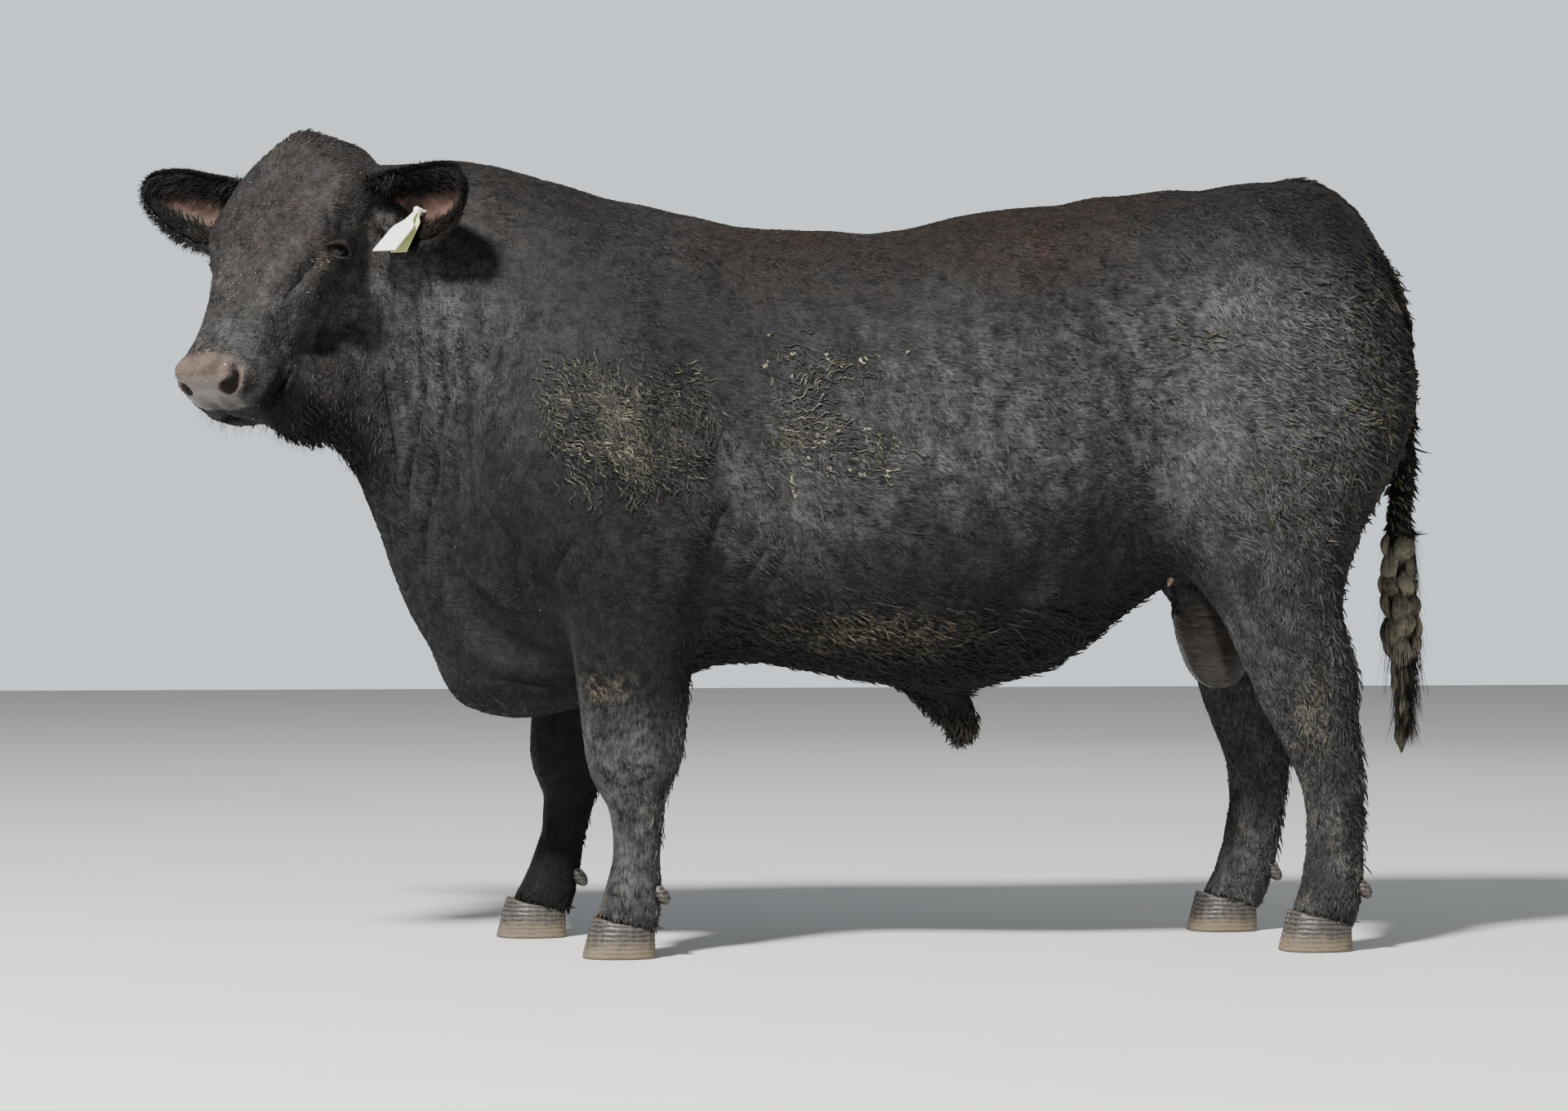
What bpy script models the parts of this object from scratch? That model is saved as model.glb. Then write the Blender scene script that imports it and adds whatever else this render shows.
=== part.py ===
"""A life-size standing beef bull, black and polled, with its head turned to its left.

The frame is in metres. The bull looks along -X, its left side is at -Y, and +Z is up. The body is
carried as rings along a few axes, melted into one skin, given its muscles and folds, and then
parted with thin cuts into head, neck, brisket, torso and legs. The origin ends up at the middle
of the bounding box on the floor.
"""

import math

import bmesh
import bpy
import numpy as np

# Driving dimensions
GAP = 0.0003
MARGIN = 0.006
POLL = np.array((-0.887, -0.115, 1.474))
HEAD_YAW = math.radians(50.0)
HEAD_PITCH = math.radians(57.0)
RING_SIDES = 40
BODY_VOXEL = 0.011
HEAD_VOXEL = 0.005
BODY_TRIANGLES = 3780
HEAD_TRIANGLES = 2650
SWITCH_TRIANGLES = 1350
EYE_RADIUS = 0.0215
LID_THICKNESS = 0.0050
EYE_PLACE = (0.213, 0.131, -0.080)
EYE_SLIT = (0.0235, 0.0125)
SHOULDER_CUT = 0.74
KNEE_CUT = 0.405
THIGH_CUT = 0.90
HOCK_CUT = 0.475
JAW_CUT = 0.300
BRISKET_WIDTH = 0.135
BRISKET_TOP = 0.70

# Head axes: FACE runs from the poll to the nose, CHEEK to the head's left, BROW out of the forehead
UP = np.array((0.0, 0.0, 1.0))
ACROSS = np.array((0.0, 1.0, 0.0))
AHEAD = np.array((-math.cos(HEAD_YAW), -math.sin(HEAD_YAW), 0.0))
FACE = AHEAD * math.cos(HEAD_PITCH) - UP * math.sin(HEAD_PITCH)
BROW = AHEAD * math.sin(HEAD_PITCH) + UP * math.cos(HEAD_PITCH)
CHEEK = np.array((math.sin(HEAD_YAW), -math.cos(HEAD_YAW), 0.0))

# x, back line, belly line, height of the widest point, half width, squareness above and below
TRUNK = (
    (-0.640, 1.340, 0.640, 0.98, 0.120, 2.0, 2.0),
    (-0.560, 1.400, 0.540, 0.95, 0.225, 2.0, 2.0),
    (-0.460, 1.398, 0.480, 0.92, 0.280, 2.1, 2.1),
    (-0.380, 1.372, 0.455, 0.90, 0.305, 2.2, 2.1),
    (-0.250, 1.352, 0.470, 0.88, 0.320, 2.2, 2.2),
    (-0.100, 1.318, 0.520, 0.88, 0.335, 2.2, 2.2),
    (0.060, 1.310, 0.502, 0.87, 0.352, 2.3, 2.2),
    (0.200, 1.308, 0.474, 0.87, 0.362, 2.4, 2.2),
    (0.300, 1.334, 0.457, 0.87, 0.362, 2.5, 2.1),
    (0.400, 1.350, 0.482, 0.88, 0.358, 2.6, 2.1),
    (0.500, 1.360, 0.512, 0.91, 0.343, 2.7, 2.1),
    (0.640, 1.380, 0.615, 0.98, 0.312, 2.9, 2.1),
    (0.760, 1.388, 0.690, 1.04, 0.292, 2.8, 2.2),
    (0.900, 1.406, 0.740, 1.06, 0.272, 2.5, 2.2),
    (1.000, 1.390, 0.800, 1.07, 0.238, 2.3, 2.2),
    (1.070, 1.330, 0.870, 1.08, 0.190, 2.2, 2.2),
    (1.115, 1.240, 0.950, 1.09, 0.110, 2.0, 2.0),
)

# x, y, z, turn to the left, lean ahead, half width, reach up, reach down, squareness above and below
NECK = (
    (-0.250, 0.000, 0.950, 0, 0, 0.270, 0.395, 0.400, 2.0, 1.9),
    (-0.450, 0.000, 0.985, 3, 0, 0.262, 0.418, 0.450, 1.9, 1.8),
    (-0.570, -0.006, 1.030, 10, 0, 0.240, 0.402, 0.420, 1.9, 1.8),
    (-0.660, -0.020, 1.075, 22, 0, 0.217, 0.352, 0.345, 1.9, 1.8),
    (-0.725, -0.042, 1.120, 33, 2, 0.193, 0.302, 0.270, 2.0, 1.8),
    (-0.775, -0.070, 1.165, 42, 8, 0.168, 0.236, 0.215, 2.0, 1.8),
    (-0.815, -0.100, 1.195, 48, 15, 0.130, 0.158, 0.160, 2.0, 1.8),
)
DEWLAP = (
    (-0.965, -0.272, 1.012, 50, 10, 0.022, 0.050, 0.055, 2.0, 2.0),
    (-0.915, -0.222, 1.005, 50, 5, 0.037, 0.100, 0.082, 2.0, 1.8),
    (-0.857, -0.165, 0.998, 46, -5, 0.048, 0.140, 0.090, 2.0, 1.7),
    (-0.794, -0.105, 0.985, 36, -22, 0.056, 0.140, 0.084, 2.0, 1.7),
    (-0.728, -0.050, 0.905, 20, -48, 0.068, 0.110, 0.076, 2.0, 1.7),
    (-0.665, -0.012, 0.765, 8, -68, 0.090, 0.110, 0.076, 2.0, 1.8),
    (-0.625, 0.000, 0.660, 0, -72, 0.106, 0.110, 0.080, 2.0, 1.8),
    (-0.582, 0.000, 0.580, 0, -66, 0.122, 0.110, 0.076, 2.0, 1.9),
    (-0.520, 0.000, 0.525, 0, -45, 0.136, 0.110, 0.108, 2.0, 2.0),
    (-0.460, 0.000, 0.520, 0, -15, 0.145, 0.110, 0.108, 2.0, 2.0),
    (-0.380, 0.000, 0.530, 0, 0, 0.145, 0.110, 0.098, 2.0, 2.0),
    (-0.250, 0.000, 0.560, 0, 0, 0.130, 0.100, 0.088, 2.0, 2.0),
    (-0.100, 0.000, 0.600, 0, 0, 0.100, 0.080, 0.075, 2.0, 2.0),
)

# along the face, forehead line, jaw line, widest level, half width, squareness above and below
HEAD = (
    (-0.045, -0.085, -0.170, -0.12, 0.060, 1.7, 2.0),
    (-0.014, -0.020, -0.220, -0.12, 0.096, 1.4, 2.0),
    (0.018, 0.002, -0.255, -0.12, 0.126, 1.6, 2.0),
    (0.070, 0.004, -0.284, -0.10, 0.144, 2.2, 2.0),
    (0.130, 0.002, -0.292, -0.09, 0.147, 2.7, 1.9),
    (0.190, -0.003, -0.288, -0.09, 0.141, 2.8, 1.8),
    (0.250, -0.010, -0.270, -0.09, 0.124, 2.7, 1.8),
    (0.310, -0.014, -0.248, -0.10, 0.105, 2.5, 1.9),
    (0.370, -0.016, -0.224, -0.10, 0.090, 2.5, 2.1),
    (0.430, -0.015, -0.204, -0.10, 0.082, 2.6, 2.2),
    (0.472, -0.012, -0.194, -0.10, 0.082, 2.8, 2.3),
    (0.500, -0.014, -0.188, -0.10, 0.081, 2.9, 2.4),
    (0.519, -0.024, -0.180, -0.10, 0.074, 2.8, 2.5),
    (0.530, -0.042, -0.166, -0.10, 0.056, 2.6, 2.4),
)

# Rounded forms on one side of the head: place along, out and above, then the three radii
HEAD_FORMS = (
    (0.192, 0.100, -0.064, 0.086, 0.044, 0.046),
    (0.216, 0.114, -0.082, 0.052, 0.040, 0.042),
    (0.155, 0.084, -0.200, 0.110, 0.050, 0.086),
    (0.062, 0.104, -0.112, 0.046, 0.046, 0.046),
    (0.290, 0.078, -0.105, 0.080, 0.036, 0.050),
    (0.300, 0.046, -0.205, 0.140, 0.030, 0.048),
    (0.492, 0.042, -0.046, 0.034, 0.028, 0.034),
    (0.508, 0.020, -0.112, 0.030, 0.040, 0.034),
    (0.470, 0.056, -0.106, 0.056, 0.032, 0.032),
    (0.470, 0.030, -0.168, 0.050, 0.038, 0.030),
)

# z, front, rear, distance of the middle from the midline, half width, squareness
FORELEG = (
    (1.300, -0.440, -0.270, 0.110, 0.050, 2.0),
    (1.200, -0.500, -0.180, 0.155, 0.095, 2.1),
    (1.060, -0.550, -0.110, 0.200, 0.130, 2.2),
    (0.920, -0.575, -0.090, 0.220, 0.142, 2.2),
    (0.800, -0.545, -0.105, 0.232, 0.135, 2.2),
    (0.700, -0.475, -0.135, 0.236, 0.122, 2.2),
    (0.620, -0.418, -0.165, 0.235, 0.105, 2.2),
    (0.530, -0.402, -0.183, 0.230, 0.090, 2.2),
    (0.445, -0.392, -0.194, 0.224, 0.078, 2.3),
    (0.395, -0.385, -0.199, 0.220, 0.071, 2.4),
    (0.347, -0.379, -0.206, 0.218, 0.068, 2.5),
    (0.305, -0.364, -0.223, 0.216, 0.060, 2.4),
    (0.262, -0.339, -0.235, 0.215, 0.050, 2.3),
    (0.210, -0.332, -0.240, 0.215, 0.047, 2.2),
    (0.165, -0.335, -0.241, 0.215, 0.050, 2.2),
    (0.125, -0.345, -0.238, 0.215, 0.056, 2.4),
    (0.085, -0.356, -0.243, 0.215, 0.059, 2.6),
    (0.030, -0.374, -0.248, 0.215, 0.060, 2.6),
)
HINDLEG = (
    (1.320, 0.680, 0.960, 0.120, 0.070, 2.0),
    (1.220, 0.610, 1.070, 0.150, 0.130, 2.1),
    (1.100, 0.590, 1.120, 0.165, 0.155, 2.2),
    (0.970, 0.585, 1.125, 0.175, 0.165, 2.2),
    (0.860, 0.598, 1.085, 0.182, 0.165, 2.2),
    (0.760, 0.640, 1.030, 0.190, 0.150, 2.1),
    (0.680, 0.712, 1.000, 0.198, 0.128, 2.1),
    (0.610, 0.766, 0.990, 0.204, 0.106, 2.1),
    (0.550, 0.796, 1.008, 0.208, 0.088, 2.1),
    (0.495, 0.820, 1.022, 0.210, 0.073, 2.1),
    (0.435, 0.848, 1.019, 0.210, 0.066, 2.2),
    (0.370, 0.884, 1.027, 0.210, 0.060, 2.2),
    (0.315, 0.911, 1.033, 0.210, 0.054, 2.2),
    (0.255, 0.925, 1.034, 0.210, 0.050, 2.2),
    (0.190, 0.925, 1.034, 0.210, 0.050, 2.2),
    (0.130, 0.920, 1.034, 0.210, 0.057, 2.4),
    (0.085, 0.907, 1.026, 0.210, 0.060, 2.6),
    (0.030, 0.888, 1.012, 0.210, 0.061, 2.6),
)

# Per leg: stations, side, how far the foot is set ahead, from which height, and the height of its cut
LEGS = {
    "foreleg_left": (FORELEG, -1, 0.0, 0.80, KNEE_CUT),
    "foreleg_right": (FORELEG, 1, -0.140, 0.80, KNEE_CUT),
    "hindleg_left": (HINDLEG, -1, 0.0, 0.62, HOCK_CUT),
    "hindleg_right": (HINDLEG, 1, -0.090, 0.62, HOCK_CUT),
}

# x, y, z, radius of the tail's bony part; it follows the rump, then hangs clear of the thighs
TAIL = (
    (0.900, 0.000, 1.372, 0.028),
    (0.965, 0.000, 1.385, 0.032),
    (1.030, 0.000, 1.352, 0.032),
    (1.085, 0.000, 1.285, 0.030),
    (1.128, 0.000, 1.195, 0.028),
    (1.150, 0.000, 1.080, 0.026),
    (1.157, 0.000, 0.960, 0.022),
    (1.155, 0.000, 0.860, 0.019),
    (1.150, 0.000, 0.800, 0.019),
    (1.150, 0.000, 0.750, 0.020),
)
SWITCH_CORE = (
    (1.150, 0.000, 0.7486, 0.0197),
    (1.149, 0.000, 0.7150, 0.0205),
    (1.148, 0.000, 0.6700, 0.0260),
    (1.151, 0.000, 0.6150, 0.0290),
    (1.154, 0.000, 0.5600, 0.0250),
    (1.156, 0.000, 0.5150, 0.0120),
)

# The caked locks of the switch: height of the root, turn round the tail in degrees, length, half
# width, half thickness, how far the middle stands off the core, and how far the tip turns aside
LOCKS = (
    (0.741, 235, 0.076, 0.018, 0.012, 0.009, 4),
    (0.738, 120, 0.085, 0.017, 0.009, 0.005, -6),
    (0.730, 350, 0.095, 0.016, 0.008, 0.006, 10),
    (0.688, 170, 0.100, 0.020, 0.010, 0.005, 8),
    (0.684, 250, 0.110, 0.019, 0.010, 0.006, -10),
    (0.680, 20, 0.105, 0.019, 0.009, 0.006, 12),
    (0.676, 95, 0.105, 0.020, 0.010, 0.005, -8),
    (0.646, 205, 0.120, 0.021, 0.011, 0.009, 14),
    (0.640, 300, 0.120, 0.022, 0.012, 0.010, -16),
    (0.636, 55, 0.115, 0.020, 0.011, 0.009, 10),
    (0.632, 130, 0.120, 0.021, 0.011, 0.008, -12),
    (0.606, 250, 0.130, 0.020, 0.012, 0.010, 12),
    (0.600, 345, 0.125, 0.019, 0.011, 0.011, -14),
    (0.594, 165, 0.130, 0.020, 0.012, 0.009, 10),
    (0.590, 85, 0.125, 0.019, 0.011, 0.008, -10),
    (0.562, 210, 0.130, 0.018, 0.011, 0.010, -14),
    (0.556, 300, 0.135, 0.018, 0.011, 0.011, 12),
    (0.550, 35, 0.130, 0.017, 0.010, 0.010, 10),
    (0.546, 125, 0.130, 0.017, 0.010, 0.009, -10),
    (0.524, 255, 0.140, 0.015, 0.010, 0.008, 10),
    (0.520, 350, 0.135, 0.014, 0.009, 0.008, -8),
    (0.516, 165, 0.150, 0.015, 0.010, 0.007, 8),
    (0.512, 80, 0.125, 0.013, 0.009, 0.006, -6),
)

# x, y, z, radius of the sheath under the belly and of the scrotum between the thighs
SHEATH = (
    (0.160, 0.000, 0.505, 0.030),
    (0.240, 0.000, 0.478, 0.040),
    (0.300, 0.000, 0.450, 0.042),
    (0.326, 0.000, 0.424, 0.034),
    (0.328, 0.000, 0.398, 0.026),
    (0.322, 0.000, 0.376, 0.013),
)
SCROTUM = (
    (0.745, 0.000, 0.735, 0.030),
    (0.755, 0.000, 0.690, 0.044),
    (0.775, 0.000, 0.630, 0.060),
    (0.795, 0.000, 0.560, 0.070),
    (0.812, 0.000, 0.500, 0.060),
    (0.820, 0.000, 0.466, 0.030),
)

# The hoof: length and width of one claw, the slot between the two, and the slope of the coronet
CLAW_LENGTH = 0.132
CLAW_WIDTH = 0.056
CLAW_SLOT = 0.005
CLAW_HEIGHT = 0.100
CORONET_FRONT = 0.078
CORONET_REAR = 0.048
DEWCLAW_HEIGHT = 0.112
DEWCLAW_RADIUS = 0.016

# The ear: where it grows, its length and widest half breadth, and the thickness of its rim
EAR_PLACE = (0.052, 0.120, -0.112)
EAR_LENGTH = 0.240
EAR_BREADTH = 0.092
EAR_THICKNESS = 0.007
EAR_SWING = {1: math.radians(11.0), -1: math.radians(25.0)}
EAR_RISE = {1: -0.02, -1: 0.035}
EAR_SAG = 0.033

# The tag in the left ear: outlines of its two plates, as half width and distance from the stud
TAG_FRONT = (
    (0.0045, -0.004),
    (0.0060, 0.012),
    (0.0110, 0.026),
    (0.0260, 0.040),
    (0.0290, 0.047),
    (0.0300, 0.106),
)
TAG_SECOND = (
    (0.0065, -0.004),
    (0.0080, 0.012),
    (0.0190, 0.026),
    (0.0210, 0.088),
)
TAG_THICKNESS = 0.0022
TAG_STAND = 0.0198
HOOK_STAND = 0.0148
TAG_PLACE = (0.40, -0.20)
STUD_RADIUS = 0.0030
BOSS_RADIUS = 0.0070
BUTTON_RADIUS = 0.0125

# Colour and roughness by a word in the name; the first that fits holds
FINISHES = (
    ("tag_second", ((0.62, 0.66, 0.30), 0.45)),
    ("tag", ((0.86, 0.86, 0.82), 0.45)),
    ("eye", ((0.012, 0.010, 0.012), 0.08)),
    ("claw", ((0.045, 0.040, 0.036), 0.50)),
    ("scrotum", ((0.075, 0.060, 0.055), 0.60)),
    ("sheath", ((0.080, 0.062, 0.052), 0.70)),
    ("switch", ((0.090, 0.072, 0.048), 0.85)),
    ("", ((0.022, 0.020, 0.021), 0.55)),
)


def clear_scene():
    """Removes whatever the scene starts with."""
    for thing in list(bpy.data.objects):
        bpy.data.objects.remove(thing, do_unlink=True)


def through(stations, count):
    """Carries every column of a station table along a cubic through its rows."""
    table = np.array(stations, float)
    slopes = np.gradient(table, axis=0)
    at = np.linspace(0.0, len(table) - 1.0, count)
    low = np.minimum(at.astype(int), len(table) - 2)
    t = (at - low)[:, None]
    start = (2 * t**3 - 3 * t**2 + 1) * table[low] + (t**3 - 2 * t**2 + t) * slopes[low]
    return start + (3 * t**2 - 2 * t**3) * table[low + 1] + (t**3 - t**2) * slopes[low + 1]


def fixed(rows, axis):
    """The same axis for every row."""
    return np.tile(np.array(axis, float), (rows, 1))


def unit(vector):
    """The vector at length one."""
    return np.asarray(vector, float) / np.linalg.norm(vector)


def ring_points(middle, side, up, width, above, below, power_above, power_below, sides=RING_SIDES):
    """Superellipse rings: a row of points for each middle, with its own axes, reaches and squareness."""
    angle = np.linspace(0.0, 2 * math.pi, sides, endpoint=False)
    cosine, sine = np.cos(angle)[None, :], np.sin(angle)[None, :]
    power = 2.0 / np.where(sine >= 0, power_above[:, None], power_below[:, None])
    reach = np.where(sine >= 0, above[:, None], below[:, None])
    across = np.sign(cosine) * np.abs(cosine) ** power * width[:, None]
    along = np.sign(sine) * np.abs(sine) ** power * reach
    return middle[:, None, :] + across[:, :, None] * side[:, None, :] + along[:, :, None] * up[:, None, :]


def solid(name, points, faces):
    """A closed mesh object with its faces turned outwards."""
    mesh = bpy.data.meshes.new(name)
    mesh.from_pydata(np.asarray(points).tolist(), [], faces)
    piece = bpy.data.objects.new(name, mesh)
    bpy.context.scene.collection.objects.link(piece)
    work = bmesh.new()
    work.from_mesh(mesh)
    bmesh.ops.recalc_face_normals(work, faces=work.faces)
    if work.calc_volume(signed=True) < 0:
        bmesh.ops.reverse_faces(work, faces=work.faces)
    work.to_mesh(mesh)
    work.free()
    return piece


def shell(name, rings):
    """One closed mesh object from rows of ring points, with a fan at each end."""
    rows, sides = rings.shape[:2]
    points = np.concatenate([rings.reshape(-1, 3), rings[0].mean(0)[None], rings[-1].mean(0)[None]])
    index = np.arange(rows * sides).reshape(rows, sides)
    turned = np.roll(index, -1, axis=1)
    quads = np.stack([index[:-1], turned[:-1], turned[1:], index[1:]], -1).reshape(-1, 4)
    first, last = rows * sides, rows * sides + 1
    fan_in = [(first, b, a) for a, b in zip(index[0].tolist(), turned[0].tolist())]
    fan_out = [(last, a, b) for a, b in zip(index[-1].tolist(), turned[-1].tolist())]
    return solid(name, points, quads.tolist() + fan_in + fan_out)


def trunk_rings():
    """Upright rings across the spine from the chest to the rump."""
    x, top, bottom, wide, width, above, below = through(TRUNK, 90).T
    middle = np.stack([x, np.zeros_like(x), wide], 1)
    return ring_points(middle, fixed(len(x), ACROSS), fixed(len(x), UP),
                       width, top - wide, wide - bottom, above, below)


def turned_rings(stations, count):
    """Rings that turn to the left and lean ahead as the neck does."""
    x, y, z, turn, lean, width, up, down, above, below = through(stations, count).T
    turn, lean = np.radians(turn), np.radians(lean)
    ahead = np.stack([-np.cos(turn), -np.sin(turn), np.zeros_like(x)], 1)
    side = np.stack([-np.sin(turn), np.cos(turn), np.zeros_like(x)], 1)
    rise = ahead * np.sin(lean)[:, None] + np.cos(lean)[:, None] * UP
    return ring_points(np.stack([x, y, z], 1), side, rise, width, up, down, above, below)


def head_rings():
    """Rings across the face from behind the poll to the nose."""
    along, top, bottom, wide, width, above, below = through(HEAD, 70).T
    middle = POLL + along[:, None] * FACE + wide[:, None] * BROW
    return ring_points(middle, fixed(len(along), CHEEK), fixed(len(along), BROW),
                       width, top - wide, wide - bottom, above, below)


def leg_rings(stations, side, step, hinge):
    """Level rings down a leg. The foot is set ahead by the step, worked up from nothing at the hinge."""
    z, front, rear, out, width, power = through(stations, 80).T
    shift = step * np.clip(1.0 - z / hinge, 0.0, 1.0)
    middle = np.stack([(front + rear) / 2 + shift, side * out, z], 1)
    reach = (rear - front) / 2
    return ring_points(middle, fixed(len(z), ACROSS), fixed(len(z), (-1, 0, 0)),
                       width, reach, reach, power, power)


def tube(name, stations, count, sides, grow=0.0):
    """A round tube along x, y, z, radius stations, grown by a skin where asked."""
    x, y, z, radius = through(stations, count).T
    middle = np.stack([x, y, z], 1)
    run = np.gradient(middle, axis=0)
    run /= np.linalg.norm(run, axis=1)[:, None]
    middle[0] -= run[0] * grow
    middle[-1] += run[-1] * grow
    side = fixed(count, ACROSS)
    radius = radius + grow
    even = np.full(count, 2.0)
    rings = ring_points(middle, side, np.cross(run, side), radius, radius, radius, even, even, sides)
    return shell(name, rings)


def ball(name, centre, radii, axes, rows=14, sides=20):
    """An ellipsoid with its own three axes."""
    angle = np.linspace(0.0, math.pi, rows + 2)[1:-1]
    middle = np.array(centre) - np.cos(angle)[:, None] * radii[0] * np.array(axes[0])
    width, reach = np.sin(angle) * radii[1], np.sin(angle) * radii[2]
    even = np.full(rows, 2.0)
    rings = ring_points(middle, fixed(rows, axes[1]), fixed(rows, axes[2]), width, reach, reach,
                        even, even, sides)
    piece = shell(name, rings)
    ends = np.array(centre) + np.array((-radii[0], radii[0]))[:, None] * np.array(axes[0])
    piece.data.vertices[rows * sides].co = ends[0]
    piece.data.vertices[rows * sides + 1].co = ends[1]
    return piece


def block(name, low, high, axes=None, origin=(0.0, 0.0, 0.0)):
    """A box between two corners, optionally on turned axes about an origin."""
    axes = np.eye(3) if axes is None else np.array(axes)
    corners = [(x, y, z) for x in (low[0], high[0]) for y in (low[1], high[1]) for z in (low[2], high[2])]
    points = np.array(origin) + np.array(corners) @ axes
    faces = [(0, 1, 3, 2), (4, 6, 7, 5), (0, 4, 5, 1), (2, 3, 7, 6), (0, 2, 6, 4), (1, 5, 7, 3)]
    return solid(name, points, faces)


def on_head(along, out, above):
    """A point given along the face, out to the left and above the forehead line."""
    return POLL + along * FACE + out * CHEEK + above * BROW


def settle(piece):
    """Makes the evaluated mesh the piece's own, with no modifier left."""
    bpy.context.view_layer.update()
    graph = bpy.context.evaluated_depsgraph_get()
    mesh = bpy.data.meshes.new_from_object(piece.evaluated_get(graph))
    old = piece.data
    piece.modifiers.clear()
    piece.data = mesh
    bpy.data.meshes.remove(old)


def melted(name, pieces, voxel, smooth):
    """One skin over overlapping pieces, its corners eased by a smoothing."""
    bpy.ops.object.select_all(action="DESELECT")
    for piece in pieces:
        piece.select_set(True)
    bpy.context.view_layer.objects.active = pieces[0]
    bpy.ops.object.join()
    whole = pieces[0]
    whole.name = name
    remesh = whole.modifiers.new("skin", "REMESH")
    remesh.mode = "VOXEL"
    remesh.voxel_size = voxel
    soften = whole.modifiers.new("soften", "SMOOTH")
    soften.factor = 0.5
    soften.iterations = smooth
    settle(whole)
    return whole


def open_edges(mesh):
    """How many edges don't have exactly two faces."""
    work = bmesh.new()
    work.from_mesh(mesh)
    count = sum(not edge.is_manifold for edge in work.edges)
    work.free()
    return count


def thinned(piece, triangles):
    """Collapses a fine skin to about that many triangles, with a few more where faces would pinch."""
    tri = piece.modifiers.new("triangles", "TRIANGULATE")
    tri.quad_method = "BEAUTY"
    settle(piece)
    fine = copied(piece, "fine")
    for attempt in range(12):
        thin = piece.modifiers.new("thin", "DECIMATE")
        thin.ratio = min(1.0, (triangles + 40 * attempt) / len(piece.data.polygons))
        thin.use_collapse_triangulate = True
        settle(piece)
        if open_edges(piece.data) == 0:
            break
        piece.data = fine.data.copy()
    bpy.data.objects.remove(fine, do_unlink=True)
    return piece


def boolean(piece, others, operation):
    """Joins, cuts or intersects a piece with others, which are used up."""
    for other in others:
        change = piece.modifiers.new("change", "BOOLEAN")
        change.operation = operation
        change.solver = "MANIFOLD"
        change.object = other
        settle(piece)
        bpy.data.objects.remove(other, do_unlink=True)
    return piece


def copied(piece, name):
    """A second object with its own copy of the mesh."""
    other = bpy.data.objects.new(name, piece.data.copy())
    bpy.context.scene.collection.objects.link(other)
    return other


def largest(piece):
    """Keeps only the largest closed surface of a piece."""
    work = bmesh.new()
    work.from_mesh(piece.data)
    left, groups = set(work.verts), []
    while left:
        start = left.pop()
        group, queue = [start], [start]
        while queue:
            for edge in queue.pop().link_edges:
                for vert in edge.verts:
                    if vert in left:
                        left.discard(vert)
                        group.append(vert)
                        queue.append(vert)
        groups.append(group)
    groups.sort(key=len)
    loose = [vert for group in groups[:-1] for vert in group]
    bmesh.ops.delete(work, geom=loose, context="VERTS")
    work.to_mesh(piece.data)
    work.free()
    return piece


def parted(rest, name, region):
    """Takes the stretch of a body inside a region as a new piece, a gap away from the rest."""
    piece = boolean(copied(rest, name), [region(0.0)], "INTERSECT")
    boolean(rest, [region(GAP)], "DIFFERENCE")
    return largest(piece)


def head_region(grow):
    """All that lies ahead of the plane behind poll and ears and above the one under the jaw."""
    normal = unit((-0.951, -0.168, -0.259))
    level = unit(np.cross(UP, normal))
    axes = (normal, level, np.cross(normal, level))
    behind = block("region", (-grow, -0.45, -0.60), (0.90, 0.45, 0.60), axes, (-0.665, -0.060, 1.220))
    under = block("under", (-0.60, -0.60, -JAW_CUT - grow), (0.80, 0.60, 0.40), (FACE, CHEEK, BROW), POLL)
    return boolean(behind, [under], "INTERSECT")


def neck_region(grow):
    """All that lies ahead of the slope from the withers down the front of the shoulder."""
    normal = unit((-0.93, 0.0, 0.19))
    axes = (normal, ACROSS, np.cross(normal, ACROSS))
    return block("region", (-grow, -0.60, -0.60), (0.90, 0.60, 0.60), axes, (-0.565, 0.0, 0.965))


def brisket_region(grow):
    """The breast between the forelegs."""
    wide = BRISKET_WIDTH + grow
    return block("region", (-0.95, -wide, 0.30), (-0.33 + grow, wide, BRISKET_TOP + grow))


def leg_region(name, upper):
    """A function for the box that holds the upper or the lower stretch of one leg."""
    fore = name.startswith("fore")
    side = LEGS[name][1]
    cut = LEGS[name][4]
    ahead, astern = (-0.75, -0.06) if fore else (0.60, 1.30)
    inner = BRISKET_WIDTH + 2 * GAP if fore else 0.078
    top = SHOULDER_CUT if fore else THIGH_CUT

    def region(grow):
        low_z, high_z = (cut, top + grow) if upper else (-0.20, cut + grow)
        near, far = (inner, 0.60) if upper else (0.02, 0.60)
        across = sorted((side * (near - grow), side * far))
        return block("region", (ahead - grow, across[0], low_z - grow), (astern + grow, across[1], high_z))

    return region


def foot_middle(name):
    """The middle of a foot on the floor."""
    stations, side, step, hinge = LEGS[name][:4]
    row = stations[-1]
    return np.array(((row[1] + row[2]) / 2 + step * (1.0 - row[0] / hinge), side * row[3], 0.0))


def coronet_region(name, grow):
    """All that lies below the sloping top of the hooves of one foot."""
    middle = foot_middle(name)
    slope = unit((CLAW_LENGTH, 0.0, CORONET_REAR - CORONET_FRONT))
    axes = (slope, ACROSS, np.cross(slope, ACROSS))
    level = middle + UP * (CORONET_FRONT + CORONET_REAR) / 2
    return block("region", (-0.30, -0.12, -0.16), (0.30, 0.12, grow), axes, level)


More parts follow.
